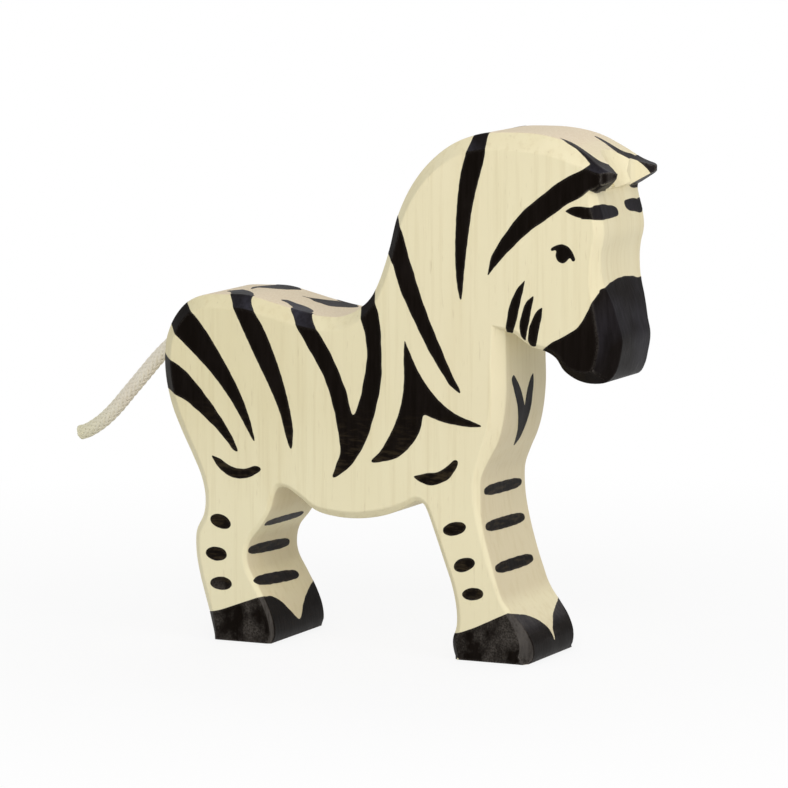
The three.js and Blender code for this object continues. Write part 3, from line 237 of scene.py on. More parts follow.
# Marks on both sides. Side runs are shares of the length and height, plan runs of the length and
# of the flat top's half width, front runs of the thickness and height. Left: what differs there.
FLANK_MARKS = [
  dict(
    name="rump_stripe_high",
    wrap=EDGE_WRAP,
    side=[
      [
        (-0.02, 0.632), (0.0169, 0.6041), (0.0499, 0.578), (0.0812, 0.5522), (0.1216, 0.5157),
        (0.1624, 0.4691), (0.1888, 0.4308), (0.2167, 0.3896),
      ],
      [
        (0.2068, 0.4313), (0.1889, 0.4735), (0.1653, 0.5151), (0.1375, 0.5571), (0.1064, 0.5995),
        (0.0776, 0.6305), (0.05, 0.65), (0.025, 0.685),
      ],
    ],
  ),
  dict(
    name="rump_stripe_low",
    wrap=EDGE_WRAP,
    side=[
      [
        (-0.02, 0.56), (0.003, 0.547), (0.0465, 0.528), (0.0747, 0.5057), (0.1147, 0.4639),
        (0.1431, 0.4294), (0.1651, 0.3981), (0.1791, 0.3679),
      ],
      [
        (0.1678, 0.3722), (0.1379, 0.4039), (0.0992, 0.4352), (0.058, 0.4628), (0.0178, 0.4781),
        (-0.02, 0.49),
      ],
    ],
  ),
  dict(
    name="flank_stripe",
    wrap=EDGE_WRAP,
    side=[
      [
        (0.146, 0.72), (0.1468, 0.674), (0.1563, 0.6621), (0.1675, 0.6477), (0.1911, 0.6045),
        (0.219, 0.5535), (0.2513, 0.4966), (0.2738, 0.4499), (0.2896, 0.3982), (0.2991, 0.3791),
      ],
      [
        (0.3038, 0.418), (0.2954, 0.4603), (0.2782, 0.5174), (0.2576, 0.5688), (0.2357, 0.6124),
        (0.2139, 0.6427), (0.2015, 0.658), (0.2008, 0.6718), (0.2, 0.72),
      ],
    ],
    floor=0.6,
    plan=[
      [(0.157, -1.05), (0.152, -0.99), (0.1426, -0.9348), (0.1346, -0.6984), (0.116, -0.5)],
      [(0.134, -0.0944), (0.1594, -0.3928), (0.1834, -0.7035), (0.1939, -0.8905)],
      [(0.2003, -1.0518)],
    ],
    left=dict(
      shift=0.012,
      plan=[
        [(0.1883, -1.1427), (0.1607, -0.9435), (0.1338, -0.5134), (0.148, -0.03)],
        [
          (0.1481, -0.3631), (0.1848, -0.2949), (0.1953, -0.3735), (0.2094, -0.5891),
          (0.2152, -0.7777), (0.2229, -0.9602),
        ],
        [(0.2119, -1.0466)],
      ],
    ),
  ),
  dict(
    name="saddle_stripe",
    wrap=EDGE_WRAP,
    side=[
      [
        (0.286, 0.69), (0.2866, 0.6482), (0.2974, 0.6356), (0.3075, 0.6218), (0.3345, 0.5821),
        (0.3736, 0.5214), (0.394, 0.4653), (0.4053, 0.4137), (0.409, 0.3819), (0.3985, 0.3529),
        (0.3912, 0.3308),
      ],
      [
        (0.4176, 0.3439), (0.438, 0.3631), (0.4556, 0.3882), (0.4672, 0.4084), (0.4872, 0.4662),
        (0.4997, 0.524), (0.5002, 0.577), (0.4958, 0.6382), (0.4821, 0.6801), (0.462, 0.72),
      ],
      [
        (0.424, 0.7), (0.442, 0.665), (0.4618, 0.6178), (0.4687, 0.57), (0.4613, 0.5224),
        (0.451, 0.4797), (0.437, 0.4531),
      ],
      [
        (0.423, 0.4971), (0.4008, 0.5448), (0.379, 0.5822), (0.3534, 0.6156), (0.3414, 0.6267),
        (0.3336, 0.64), (0.332, 0.69),
      ],
    ],
    floor=0.6,
    plan=[
      [(0.292, -1.05), (0.2798, -0.9058), (0.2631, -0.7356), (0.2439, -0.6507)],
      [
        (0.2525, -0.4567), (0.2749, -0.5114), (0.2958, -0.5359), (0.3127, -0.6422),
        (0.3248, -0.813),
      ],
      [(0.329, -1.0554)],
    ],
    left=dict(
      shift=0.012,
      plan=[
        [(0.31, -0.972), (0.2943, -0.7909), (0.2746, -0.5592), (0.262, -0.42), (0.247, -0.345)],
        [
          (0.266, -0.375), (0.2819, -0.2401), (0.2969, -0.2383), (0.3148, -0.1876),
          (0.3379, -0.4403), (0.358, -0.8026),
        ],
        [(0.3421, -1.0251)],
      ],
    ),
  ),
  dict(
    name="shoulder_patch",
    wrap=FLAT_WRAP,
    side=[
      [
        (0.551, 0.603), (0.5618, 0.5813), (0.5741, 0.557), (0.5844, 0.5397), (0.6037, 0.5146),
        (0.6251, 0.493), (0.6493, 0.4755), (0.6734, 0.4638), (0.6947, 0.4573), (0.7209, 0.4476),
      ],
      [(0.69, 0.4449), (0.6419, 0.4501), (0.6112, 0.458), (0.5937, 0.463)],
      [
        (0.5882, 0.4407), (0.5801, 0.4223), (0.5671, 0.4049), (0.5509, 0.3889), (0.5332, 0.377),
        (0.5152, 0.3713), (0.4764, 0.3661),
      ],
      [
        (0.4972, 0.3869), (0.512, 0.4089), (0.527, 0.4353), (0.5385, 0.4627), (0.5465, 0.4933),
        (0.5503, 0.531), (0.5493, 0.565),
      ],
    ],
  ),
  dict(
    name="neck_stripe",
    wrap=EDGE_WRAP,
    side=[
      [
        (0.495, 0.86), (0.53, 0.832), (0.5482, 0.7995), (0.5582, 0.7658), (0.5695, 0.7358),
        (0.5851, 0.692), (0.6086, 0.6367), (0.6295, 0.5942), (0.6507, 0.5509), (0.6743, 0.5066),
      ],
      [
        (0.649, 0.5231), (0.6281, 0.5514), (0.6061, 0.5825), (0.5841, 0.6195), (0.5608, 0.661),
        (0.5404, 0.7008), (0.5229, 0.7483), (0.505, 0.765), (0.475, 0.776),
      ],
    ],
  ),
  dict(
    name="crest_stripe",
    wrap=EDGE_WRAP,
    side=[
      [
        (0.696, 1.05), (0.6885, 0.9929), (0.6828, 0.954), (0.675, 0.9287), (0.6686, 0.8912),
        (0.6648, 0.853), (0.6627, 0.816), (0.6617, 0.778), (0.663, 0.7409), (0.6678, 0.7026),
        (0.6742, 0.6827),
      ],
      [
        (0.6816, 0.741), (0.6862, 0.7789), (0.6917, 0.8167), (0.6984, 0.8575), (0.7089, 0.8996),
        (0.7177, 0.9293), (0.726, 0.964), (0.721, 0.9944), (0.74, 1.05),
      ],
    ],
  ),
  dict(
    name="ear_stripe",
    wrap=EDGE_WRAP,
    side=[
      EAR_STRIPE_TOP,
      [(0.9484, 0.9485), (0.9401, 0.953), (0.933, 0.9595), (0.926, 0.965)],
      [(0.924, 1.04), (1.04, 1.04)],
      [(1.04, 0.9), (0.9641, 0.8926)],
      [(0.9556, 0.8935)],
      [(0.9501, 0.9025), *EAR_STRIPE_UNDER],
    ],
    floor=0.9,
    plan=[
      [(0.93, -1.18), (0.911, -1.11), (0.901, -1.09), (0.891, -1.065), (0.882, -1.03)],
      [
        (0.868, -0.95), (0.886, -0.92), (0.904, -0.9), (0.918, -0.93), (0.938, -0.95),
        (0.954, -0.91), (0.965, -0.75),
      ],
      [(0.967, -0.7), (0.976, -0.72)],
      [(0.992, -0.95), (0.99, -1.15), (0.96, -1.15)],
    ],
    rim_kept=True,
    front=[
      [(-0.233, 0.894), (-0.27, 0.898), (-0.323, 0.9046), (-0.365, 0.912), (-0.407, 0.918)],
      [(-0.47, 0.918), (-0.47, 0.898)],
      [(-0.42, 0.8965), (-0.356, 0.8954), (-0.253, 0.895)],
    ],
    left=dict(
      shift=0,
      side=[
        EAR_STRIPE_TOP,
        [(0.952, 0.944), (0.959, 0.951), (0.962, 0.962)],
        [(0.962, 1.04), (1.04, 1.04)],
        [(1.04, 0.9), (0.9641, 0.8926)],
        [(0.9556, 0.8935)],
        [(0.9501, 0.8975), *EAR_STRIPE_UNDER],
      ],
      plan=[
        [
          (0.965, -1.1), (0.954, -1), (0.947, -0.83), (0.939, -0.69), (0.922, -0.65),
          (0.904, -0.63), (0.893, -0.615),
        ],
        [
          (0.884, -0.565), (0.897, -0.5), (0.908, -0.48), (0.918, -0.45), (0.928, -0.41),
          (0.946, -0.39),
        ],
        [(0.958, -0.45), (0.99, -0.45)],
        [(0.99, -1.1)],
      ],
      front=[
        [(-0.247, 0.8955), (-0.29, 0.9), (-0.35, 0.904), (-0.395, 0.909)],
        [
          (-0.3803, 0.9142), (-0.3657, 0.919), (-0.351, 0.9239), (-0.3287, 0.9298),
          (-0.309, 0.9357), (-0.297, 0.939), (-0.285, 0.9416),
        ],
        [(-0.27, 0.9445)],
        [(-0.47, 0.9445), (-0.47, 0.889)],
        [(-0.4, 0.889), (-0.292, 0.8905)],
      ],
    ),
  ),
  dict(
    name="cheek_stripe_rear",
    wrap=EDGE_WRAP,
    side=[
      [
        (0.8133, 0.729), (0.7969, 0.7118), (0.7837, 0.6887), (0.7758, 0.663), (0.7723, 0.64),
        (0.7699, 0.6235),
      ],
      [(0.785, 0.6269), (0.7946, 0.6499), (0.8002, 0.6751), (0.8072, 0.7022)],
    ],
  ),
  dict(
    name="cheek_stripe_middle",
    wrap=EDGE_WRAP,
    side=[
      [(0.8321, 0.7005), (0.8168, 0.6884), (0.806, 0.664), (0.8015, 0.6421), (0.8065, 0.6166)],
      [(0.8137, 0.6132), (0.8196, 0.64), (0.8264, 0.6721)],
    ],
  ),
  dict(
    name="cheek_stripe_front",
    wrap=EDGE_WRAP,
    side=[
      [(0.8513, 0.6796), (0.8392, 0.6716), (0.8265, 0.6505), (0.8203, 0.6281), (0.8216, 0.6048)],
      [(0.8369, 0.6037), (0.8406, 0.6249), (0.8475, 0.6549)],
    ],
  ),
  dict(
    name="eye",
    wrap=FLAT_WRAP,
    side=[
      [
        (0.8665, 0.7878), (0.8698, 0.7912), (0.8794, 0.7953), (0.8889, 0.7984), (0.9012, 0.7966),
        (0.9112, 0.7883), (0.9185, 0.7759),
      ],
      [(0.9214, 0.7685), (0.9131, 0.7658), (0.9116, 0.7731)],
      [(0.9068, 0.7744), (0.9021, 0.7666), (0.892, 0.762), (0.8824, 0.7666), (0.8782, 0.7753)],
      [(0.8809, 0.786), (0.8758, 0.7875), (0.8699, 0.7826)],
    ],
  ),
  dict(
    name="brow_mark",
    wrap=EDGE_WRAP,
    side=[
      [(0.8965, 0.8601), (0.9141, 0.8685), (0.9567, 0.8694), (1.03, 0.872)],
      [(1.03, 0.846), (0.9578, 0.848), (0.9236, 0.8495), (0.9035, 0.8575)],
    ],
    front=[
      [
        (-0.467, 0.873), (-0.3459, 0.8723), (-0.2108, 0.8676), (-0.1367, 0.8649),
        (-0.0846, 0.8582), (-0.0836, 0.8508), (-0.1294, 0.8463), (-0.2468, 0.8454),
        (-0.3907, 0.8451), (-0.5245, 0.8491),
      ],
    ],
    left=dict(
      shift=0,
      front=[
        [
          (-0.4454, 0.863), (-0.3356, 0.8698), (-0.2135, 0.872), (-0.1469, 0.8715),
          (-0.0764, 0.8683), (-0.0889, 0.8566), (-0.1282, 0.8524), (-0.2416, 0.8475),
          (-0.3981, 0.8443),
        ],
      ],
    ),
  ),
  dict(
    name="hip_crease",
    wrap=FLAT_WRAP,
    side=[
      [
        (0.1176, 0.3595), (0.1393, 0.3525), (0.1569, 0.3424), (0.1761, 0.3367), (0.195, 0.337),
        (0.2211, 0.344), (0.232, 0.338),
      ],
      [
        (0.2226, 0.3295), (0.2017, 0.3201), (0.1811, 0.317), (0.164, 0.3193), (0.145, 0.328),
        (0.1296, 0.3417),
      ],
    ],
  ),
  dict(
    name="elbow_crease",
    wrap=FLAT_WRAP,
    side=[
      [
        (0.5697, 0.3445), (0.5957, 0.3511), (0.6253, 0.3563), (0.6468, 0.3691), (0.6597, 0.3811),
        (0.6686, 0.3794),
      ],
      [(0.6654, 0.3654), (0.6511, 0.3469), (0.6331, 0.3357), (0.609, 0.3295), (0.5883, 0.3332)],
    ],
  ),
]

# Name, centre, shares of DAB_LENGTH and DAB_HEIGHT, and tilt in degrees
SIDE_DABS = [
  ("front_leg_dab_high", (0.6611, 0.2499), 1.092, 0.992, 15.7),
  ("front_leg_dab_middle", (0.6824, 0.1826), 1.013, 1.015, 19.8),
  ("front_leg_dab_low", (0.7014, 0.128), 0.987, 0.94, 7.4),
  ("rear_leg_dab_high", (0.1387, 0.2313), 1.002, 1.067, -15.4),
  ("rear_leg_dab_middle", (0.1289, 0.1678), 1.008, 1.069, -2.7),
  ("rear_leg_dab_low", (0.1394, 0.1108), 1.034, 1.023, 1.1),
]

# Name, place along the body, centre across and up, shares of BAR_LENGTH and BAR_HEIGHT, tilt
FRONT_BARS = [
  ("front_leg_bar_high", 0.711, (-0.0066, 0.3183), 0.955, 0.972, -1.5),
  ("front_leg_bar_middle", 0.722, (-0.0318, 0.2517), 0.987, 0.973, -1.2),
  ("front_leg_bar_low", 0.744, (-0.0536, 0.1743), 0.953, 0.957, -0.8),
  ("rear_leg_bar_high", 0.228, (-0.0442, 0.2278), 0.943, 0.667, -1.2),
  ("rear_leg_bar_middle", 0.192, (-0.0732, 0.1728), 0.992, 0.928, -2.9),
  ("rear_leg_bar_low", 0.21, (-0.1009, 0.1137), 0.968, 0.89, -3.4),
]

CHEST_FORK = [
  [
    (-0.2633, 0.5421), (-0.301, 0.5343), (-0.2612, 0.5146), (-0.194, 0.4919), (-0.1495, 0.4754),
    (-0.1098, 0.4548), (-0.0661, 0.4302), (-0.0475, 0.4124),
  ],
  [
    (-0.0143, 0.3964), (0.042, 0.4114), (0.0704, 0.43), (0.1049, 0.4522), (0.1267, 0.4733),
    (0.1319, 0.4963), (0.1411, 0.5157),
  ],
  [(0.1371, 0.5355), (0.0907, 0.5284), (0.0271, 0.5104), (0.0012, 0.4909)],
  [(-0.0058, 0.4743), (-0.0673, 0.4947), (-0.1291, 0.5137), (-0.1989, 0.5298), (-0.2309, 0.5371)],
]
MUZZLE = [
  [
    (0.84, 0.592), (0.8655, 0.6099), (0.8811, 0.6188), (0.9029, 0.6297), (0.9183, 0.6387),
    (0.9339, 0.6535), (0.9451, 0.673), (0.9559, 0.6918), (0.9655, 0.7118), (0.98, 0.7195),
    (1.04, 0.722),
  ],
  [(1.04, 0.5), (0.84, 0.5)],
]
MUZZLE_DOME = [
  [
    (-0.4249, 0.7152), (-0.3175, 0.7218), (-0.1986, 0.7264), (-0.0499, 0.7297), (0.0499, 0.7295),
    (0.1989, 0.7268), (0.3182, 0.7215), (0.439, 0.7193),
  ],
  [(0.42, 0.69), (-0.42, 0.69)],
]
HOOVES = [
  dict(
    name="front_hoof",
    top=[
      (0.62, 0.044), (0.6626, 0.0498), (0.7021, 0.0629), (0.732, 0.0761), (0.7609, 0.0892),
      (0.79, 0.1), (0.86, 0.1),
    ],
    place=0.8,
    notch=[
      [
        (-0.6, 0.11), (-0.5, 0.097), (-0.3889, 0.0919), (-0.2496, 0.0849), (-0.127, 0.0721),
        (-0.032, 0.0541), (0.017, 0.028),
      ],
      [(0.0356, 0.0504), (0.1709, 0.0716), (0.3447, 0.085), (0.5, 0.097), (0.6, 0.11)],
      [(0.6, 0.13), (-0.6, 0.13)],
    ],
  ),
  dict(
    name="rear_hoof",
    top=[
      (0.08, 0.046), (0.1179, 0.0546), (0.1368, 0.0589), (0.1657, 0.0688), (0.2051, 0.0826),
      (0.23, 0.09), (0.3, 0.09),
    ],
    place=0.235,
    notch=[
      [
        (-0.6, 0.105), (-0.5, 0.092), (-0.35, 0.087), (-0.24, 0.076), (-0.147, 0.057),
        (0.007, 0.031),
      ],
      [(0.123, 0.055), (0.27, 0.073), (0.4, 0.084), (0.5, 0.092), (0.6, 0.105)],
      [(0.6, 0.12), (-0.6, 0.12)],
    ],
  ),
]
EAR_CORNER = [
  [(0.968, 1.1), (0.972, 1), (0.987, 0.955), (0.997, 0.88), (1.001, 0.79), (1.004, 0.66)],
  [(1.06, 0.66), (1.06, 1.1)],
]
EAR_INNER = [
  [(0.962, 0.46), (0.967, 0.53), (0.981, 0.64), (0.993, 0.765), (0.999, 0.82)],
  [(1.06, 0.84), (1.06, 0.3)],
  [(0.962, 0.3)],
]
# The free cord from the mouth of the bore, in millimetres along and up
CORD_ROUTE = [
  (0, 0), (-2.5, -1.4), (-4.7, -3.4), (-6.9, -5.4), (-9.3, -7.8), (-12.7, -11.6), (-17, -16.4),
  (-21.4, -21.3), (-25.2, -24.7), (-29.2, -27.2), (-31.3, -27.9),
]


def along_body(share):
    return (share - 0.5) * LENGTH


def up_body(share):
    return share * HEIGHT


def across_body(share):
    return share * THICKNESS


def from_side(x, z):
    return along_body(x), up_body(z)


def from_front(y, z):
    return across_body(y), up_body(z)


# Outlines


def sample_run(points, step):
    """One smooth run through the points in short steps, without its last point.

    The first two columns follow a centripetal curve, and the rest change evenly.
    """
    points = np.asarray(points, float)
    if len(points) == 2:
        cuts = max(1, round(np.linalg.norm(points[1, :2] - points[0, :2]) / step))
        shares = np.arange(cuts)[:, None] / cuts
        return points[0] + (points[1] - points[0]) * shares
    flat = points[:, :2]
    flat = np.vstack([2 * flat[0] - flat[1], flat, 2 * flat[-1] - flat[-2]])
    samples = []
    for span in range(len(points) - 1):
        p0, p1, p2, p3 = flat[span : span + 4]
        d0, d1, d2 = (math.sqrt(np.linalg.norm(b - a)) for a, b in ((p0, p1), (p1, p2), (p2, p3)))
        out_of = ((p1 - p0) / d0 - (p2 - p0) / (d0 + d1) + (p2 - p1) / d1) * d1
        into = ((p2 - p1) / d1 - (p3 - p1) / (d1 + d2) + (p3 - p2) / d2) * d1
        cuts = max(1, round(np.linalg.norm(p2 - p1) / step))
        t = np.arange(cuts)[:, None] / cuts
        curve = (
            p1
            + out_of * t
            + (-3 * p1 + 3 * p2 - 2 * out_of - into) * t**2
            + (2 * p1 - 2 * p2 + out_of + into) * t**3
        )
        rest = points[span, 2:] + (points[span + 1, 2:] - points[span, 2:]) * t
        samples.append(np.hstack([curve, rest]))
    return np.vstack(samples)


def board_loop():
    """The board's outline as points, and the bevels after and before each of them."""
    runs = [
        [(along_body(p[0]), up_body(p[1]), p[2] * EDGE_BEVEL, p[-1] * EDGE_BEVEL) for p in run]
        for run in OUTLINE
    ]
    parts = [sample_run(run, OUTLINE_STEP) for run in runs]
    after = np.vstack(parts)
    before = after[:, 2:].copy()
    start = 0
    for index, part in enumerate(parts):
        before[start] = runs[index - 1][-1][2:]
        start += len(part)
    return after[:, :2], after[:, 2:], before


def inward_normals(points):
    """The inward normal of the edge that leaves each point of a clockwise loop."""
    edge = np.roll(points, -1, axis=0) - points
    edge /= np.linalg.norm(edge, axis=1)[:, None]
    return np.stack([edge[:, 1], -edge[:, 0]], axis=1)


def inset_loop(points, after, before):
    """Moves each point of a clockwise loop inwards by the widths before and after it."""
    away = inward_normals(points)
    into = np.roll(away, 1, axis=0)
    cross = into[:, 0] * away[:, 1] - into[:, 1] * away[:, 0]
    mean = (before + after) / 2 / (1 + (into * away).sum(1))
    straight = (into + away) * mean[:, None]
    is_straight = np.abs(cross) < STRAIGHT_TURN
    safe = np.where(is_straight, 1, cross)
    mitre = (before[:, None] * away[:, ::-1] - after[:, None] * into[:, ::-1]) / safe[:, None]
    mitre[:, 1] *= -1
    move = np.where(is_straight[:, None], straight, mitre)
    length = np.linalg.norm(move, axis=1)
    limit = LONGEST_MITRE * np.maximum(np.abs(before), np.abs(after))
    scale = np.where(length > limit, limit / np.maximum(length, 1e-12), 1)
    return untangled(points + move * scale[:, None], points)


def untangled(ring, loop):
    """Evens out the few places where an inset ring would fold over itself."""
    ring = ring.copy()
    along = np.roll(loop, -1, axis=0) - loop
    for _ in range(UNFOLD_ROUNDS):
        step = np.roll(ring, -1, axis=0) - ring
        folded = (step * along).sum(1) < FOLDED_SHARE * (along * along).sum(1)
        if not folded.any():
            break
        touched = folded | np.roll(folded, 1)
        middle = (np.roll(ring, -1, axis=0) + np.roll(ring, 1, axis=0)) / 2
        ring[touched] = middle[touched]
    return ring


def edge_profile(bevel, across, skin):
    """The rounded bevel as (inset, depth) pairs, from the side face round to the rim."""
    slant = np.hypot(bevel, across)
    face = np.stack([bevel + skin * (slant - bevel) / across, np.full_like(bevel, skin)], 1)
    rim = np.stack([np.full_like(bevel, skin), across + skin * (slant - across) / bevel], 1)
    slope = np.linalg.norm(rim - face, axis=1)
    down = (rim - face) / slope[:, None]
    tangent = np.minimum(EDGE_ROOM * slope, EDGE_ROUND * EDGE_TANGENT)[:, None]
    pairs = []
    for corner, back, on in ((face, (1, 0), down), (rim, -down, (0, 1))):
        start, end = corner + tangent * np.asarray(back), corner + tangent * np.asarray(on)
        for step in range(ARC_STEPS + 1):
            t = step / ARC_STEPS
            pairs.append((1 - t) ** 2 * start + 2 * t * (1 - t) * corner + t**2 * end)
    return pairs


# Meshes


def new_object(name, vertices, faces):
    mesh = bpy.data.meshes.new(name)
    mesh.from_pydata([tuple(v) for v in vertices], [], faces)
    mesh.validate()
    work = bmesh.new()
    work.from_mesh(mesh)
    bmesh.ops.recalc_face_normals(work, faces=work.faces)
    if work.calc_volume(signed=True) < 0:
        bmesh.ops.reverse_faces(work, faces=work.faces)
    work.to_mesh(mesh)
    work.free()
    made = bpy.data.objects.new(name, mesh)
    bpy.context.scene.collection.objects.link(made)
    return made


def ring_faces(count, layers):
    """Faces of a closed stack of rings with an n-gon at each end."""
    faces = []
    for layer in range(layers - 1):
        for i in range(count):
            j = (i + 1) % count
            low, high = layer * count, (layer + 1) * count
            faces.append((low + i, low + j, high + j, high + i))
    faces.append(tuple(range(count - 1, -1, -1)))
    faces.append(tuple((layers - 1) * count + i for i in range(count)))
    return faces


def board_object(name, skin):
    """The bevelled board, taken in everywhere by the given skin."""
    points, after, before = board_loop()
    rings = []
    profile_after = edge_profile(after[:, 0], after[:, 1], skin)
    profile_before = edge_profile(before[:, 0], before[:, 1], skin)
    for pair_after, pair_before in zip(profile_after, profile_before):
        ring = inset_loop(points, pair_after[:, 0], pair_before[:, 0])
        depth = (pair_after[:, 1] + pair_before[:, 1]) / 2 - HALF
        rings.append(np.stack([ring[:, 0], depth, ring[:, 1]], axis=1))
    rings += [ring * (1, -1, 1) for ring in reversed(rings)]
    return new_object(name, np.vstack(rings), ring_faces(len(points), len(rings)))


def prism_object(name, loop, low, high, order):
    """A straight prism of a flat loop. Order says which axes the loop's columns and depth take."""
    ends = []
    for depth in (low, high):
        flat = np.column_stack([loop, np.full(len(loop), depth)])
        ends.append(flat[:, order])
    return new_object(name, np.vstack(ends), ring_faces(len(loop), 2))


FROM_SIDE = [0, 2, 1]
FROM_FRONT = [2, 0, 1]
FROM_ABOVE = [0, 1, 2]


def apply_booleans(target, operation, cutters, name):
    """A new object: target cut by, joined with or kept inside each cutter in turn."""
    for cutter in cutters:
        modifier = target.modifiers.new("cut", "BOOLEAN")
        modifier.operation = operation
        modifier.solver = "MANIFOLD"
        modifier.object = cutter
    bpy.context.view_layer.update()
    depsgraph = bpy.context.evaluated_depsgraph_get()
    mesh = bpy.data.meshes.new_from_object(target.evaluated_get(depsgraph))
    target.modifiers.clear()
    made = bpy.data.objects.new(name, mesh)
    mesh.name = name
    bpy.context.scene.collection.objects.link(made)
    return made


def discard(*objects):
    for item in objects:
        bpy.data.objects.remove(item)


def parting_objects(skin):
    """What parts the two ears: a roller, and a cut that rounds each ear's inner corner."""
    bpy.ops.mesh.primitive_cylinder_add(
        vertices=SCOOP_SIDES, radius=SCOOP_RADIUS + skin, depth=SCOOP_LENGTH
    )
    roller = bpy.context.object
    x, z = SCOOP_PLACE
    lean = Matrix.Rotation(-SCOOP_LEAN, 4, "Y") @ Matrix.Translation((SCOOP_RADIUS, 0, 0))
    middle = (along_body(x), across_body(SCOOP_SHIFT), up_body(z))
    roller.data.transform(Matrix.Translation(middle) @ lean)
    return [roller, *corner_cuts(EAR_INNER, skin)]


def corner_cuts(shares, skin):
    """Upright cuts on both ears, from a loop of shares seen from above."""
    cuts = []
    for side in (-1, 1):
        loop = mark_loop(shares, lambda a, b: (along_body(a), side * b * HALF), None)
        loop = loop - inward_normals(loop) * skin
        ends = (up_body(EAR_FLOOR) - skin, HEIGHT + OVERRUN)
        cuts.append(prism_object("corner", loop, *ends, FROM_ABOVE))
    return cuts


def scoop_objects(skin):
    """The whole scoop, with the cuts that round the ears' outer corners."""
    return [*parting_objects(skin), *corner_cuts(EAR_CORNER, skin)]


def finish_mesh(item, angle=SHARP_ANGLE):
    """Smooth shading that stops at sharp edges and keeps flat faces flat."""
    mesh = item.data
    work = bmesh.new()
    work.from_mesh(mesh)
    bmesh.ops.remove_doubles(work, verts=work.verts, dist=MERGE_WIDTH)
    bmesh.ops.dissolve_degenerate(work, edges=work.edges, dist=SLIVER_WIDTH)
    work.to_mesh(mesh)
    work.free()
    mesh.shade_smooth()
    mesh.set_sharp_from_angle(angle=angle)
    modifier = item.modifiers.new("flat_faces_stay_flat", "WEIGHTED_NORMAL")
    modifier.keep_sharp = True
    modifier.weight = FLAT_WEIGHT
    return item


# Painted marks


def brushed(loop, seed):
    """Rounds a stencil's corners and moves its edge in and out a little, as a brush does."""
    closed = np.vstack([loop, loop[:1]])
    at = along_line(closed)
    count = max(BRUSH_LEAST, round(at[-1] / BRUSH_STEP))
    want = np.arange(count) / count * at[-1]
    loop = np.stack([np.interp(want, at, closed[:, k]) for k in range(2)], axis=1)
    for _ in range(BRUSH_SMOOTHINGS):
        loop = (np.roll(loop, 1, axis=0) + 2 * loop + np.roll(loop, -1, axis=0)) / 4
    around = np.arange(count) / count * 2 * math.pi
    waves = max(3, round(at[-1] / BRUSH_PERIOD))
    sway = sum(
        math.sin(1.7 * seed + k) / k * np.sin(round(waves * share) * around + seed * k)
        for k, share in enumerate((1, 1.7, 2.9), start=1)
    )
    return loop - inward_normals(loop) * (sway * BRUSH_WOBBLE)[:, None]


def mark_loop(runs, place, seed):
    """A clockwise loop through the runs, brushed unless the seed is None."""
    placed = [[place(a, b) for a, b in run] for run in runs]
    parts = [
        sample_run(run + [placed[(index + 1) % len(placed)][0]], MARK_STEP)
        for index, run in enumerate(placed)
    ]
    loop = np.vstack(parts)
    a, b = loop[:, 0], loop[:, 1]
    turn = (a * np.roll(b, -1) - np.roll(a, -1) * b).sum()
    loop = loop if turn < 0 else loop[::-1]
    return loop if seed is None else brushed(loop, seed)


def joined(name, prisms):
    if len(prisms) == 1:
        return prisms[0]
    made = apply_booleans(prisms[0], "UNION", prisms[1:], name)
    discard(*prisms)
    return made


def flank_stencil(mark, side, seed):
    own = {"shift": 0, **mark, **(mark.get("left", {}) if side > 0 else {})}
    ends = sorted((side * (HALF + OVERRUN), side * (HALF - mark["wrap"])))
    shift = own["shift"]
    loop = mark_loop(own["side"], lambda x, z: (along_body(x + shift), up_body(z)), seed)
    prisms = [prism_object("side", loop, *ends, FROM_SIDE)]
    if "plan" in own:
        flat = HALF - EDGE_WRAP
        loop = mark_loop(own["plan"], lambda x, y: (along_body(x), -side * y * flat), seed)
        low = up_body(mark["floor"])
        prisms.append(prism_object("plan", loop, low, HEIGHT + OVERRUN, FROM_ABOVE))
    stencil = joined("stencil", prisms)
    if "rim_kept" in mark:
        parting = parting_objects(2 * PAINT_SUNK)
        kept = apply_booleans(stencil, "DIFFERENCE", parting, "stencil")
        discard(stencil, *parting)
        stencil = kept
    if "front" in own:
        loop = mark_loop(own["front"], lambda y, z: (-side * across_body(y), up_body(z)), seed)
        face = along_body(FACE_PLACE)
        front = prism_object("front", loop, face - OVERRUN, face + 2 * OVERRUN, FROM_FRONT)
        stencil = joined("stencil", [stencil, front])
    return stencil


def oval_loop(centre, length, height, tilt, squareness, seed):
    """A brush dab: an oval where the squareness is 2, with fuller ends above that."""
    turn = -np.linspace(0, 2 * math.pi, DAB_SIDES, endpoint=False)
    along, up = (
        size / 2 * np.sign(wave) * np.abs(wave) ** (2 / squareness)
        for size, wave in ((length, np.cos(turn)), (height, np.sin(turn)))
    )
    loop = np.stack(
        [
            centre[0] + along * math.cos(tilt) - up * math.sin(tilt),
            centre[1] + along * math.sin(tilt) + up * math.cos(tilt),
        ],
        axis=1,
    )
    return brushed(loop, seed)


def dab_stencil(side, place, long, high, tilt, seed):
    centre = (along_body(place[0]), up_body(place[1]))
    length, height = DAB_LENGTH * long, DAB_HEIGHT * high
    loop = oval_loop(centre, length, height, math.radians(tilt), DAB_SQUARENESS, seed)
    ends = sorted((side * (HALF + OVERRUN), side * (HALF - FLAT_WRAP)))
    return prism_object("dab", loop, *ends, FROM_SIDE)


def bar_stencil(x, place, long, high, tilt, seed):
    centre = (across_body(place[0]), up_body(place[1]))
    length, height = BAR_LENGTH * long, BAR_HEIGHT * high
    loop = oval_loop(centre, length, height, math.radians(tilt), BAR_SQUARENESS, seed)
    face = along_body(x)
    return prism_object("bar", loop, face - OVERRUN, face + OVERRUN, FROM_FRONT)


def chest_stencil(seed):
    loop = mark_loop(CHEST_FORK, from_front, seed)
    face = along_body(CHEST_PLACE)
    return prism_object("chest", loop, face - 2 * OVERRUN, face + OVERRUN, FROM_FRONT)


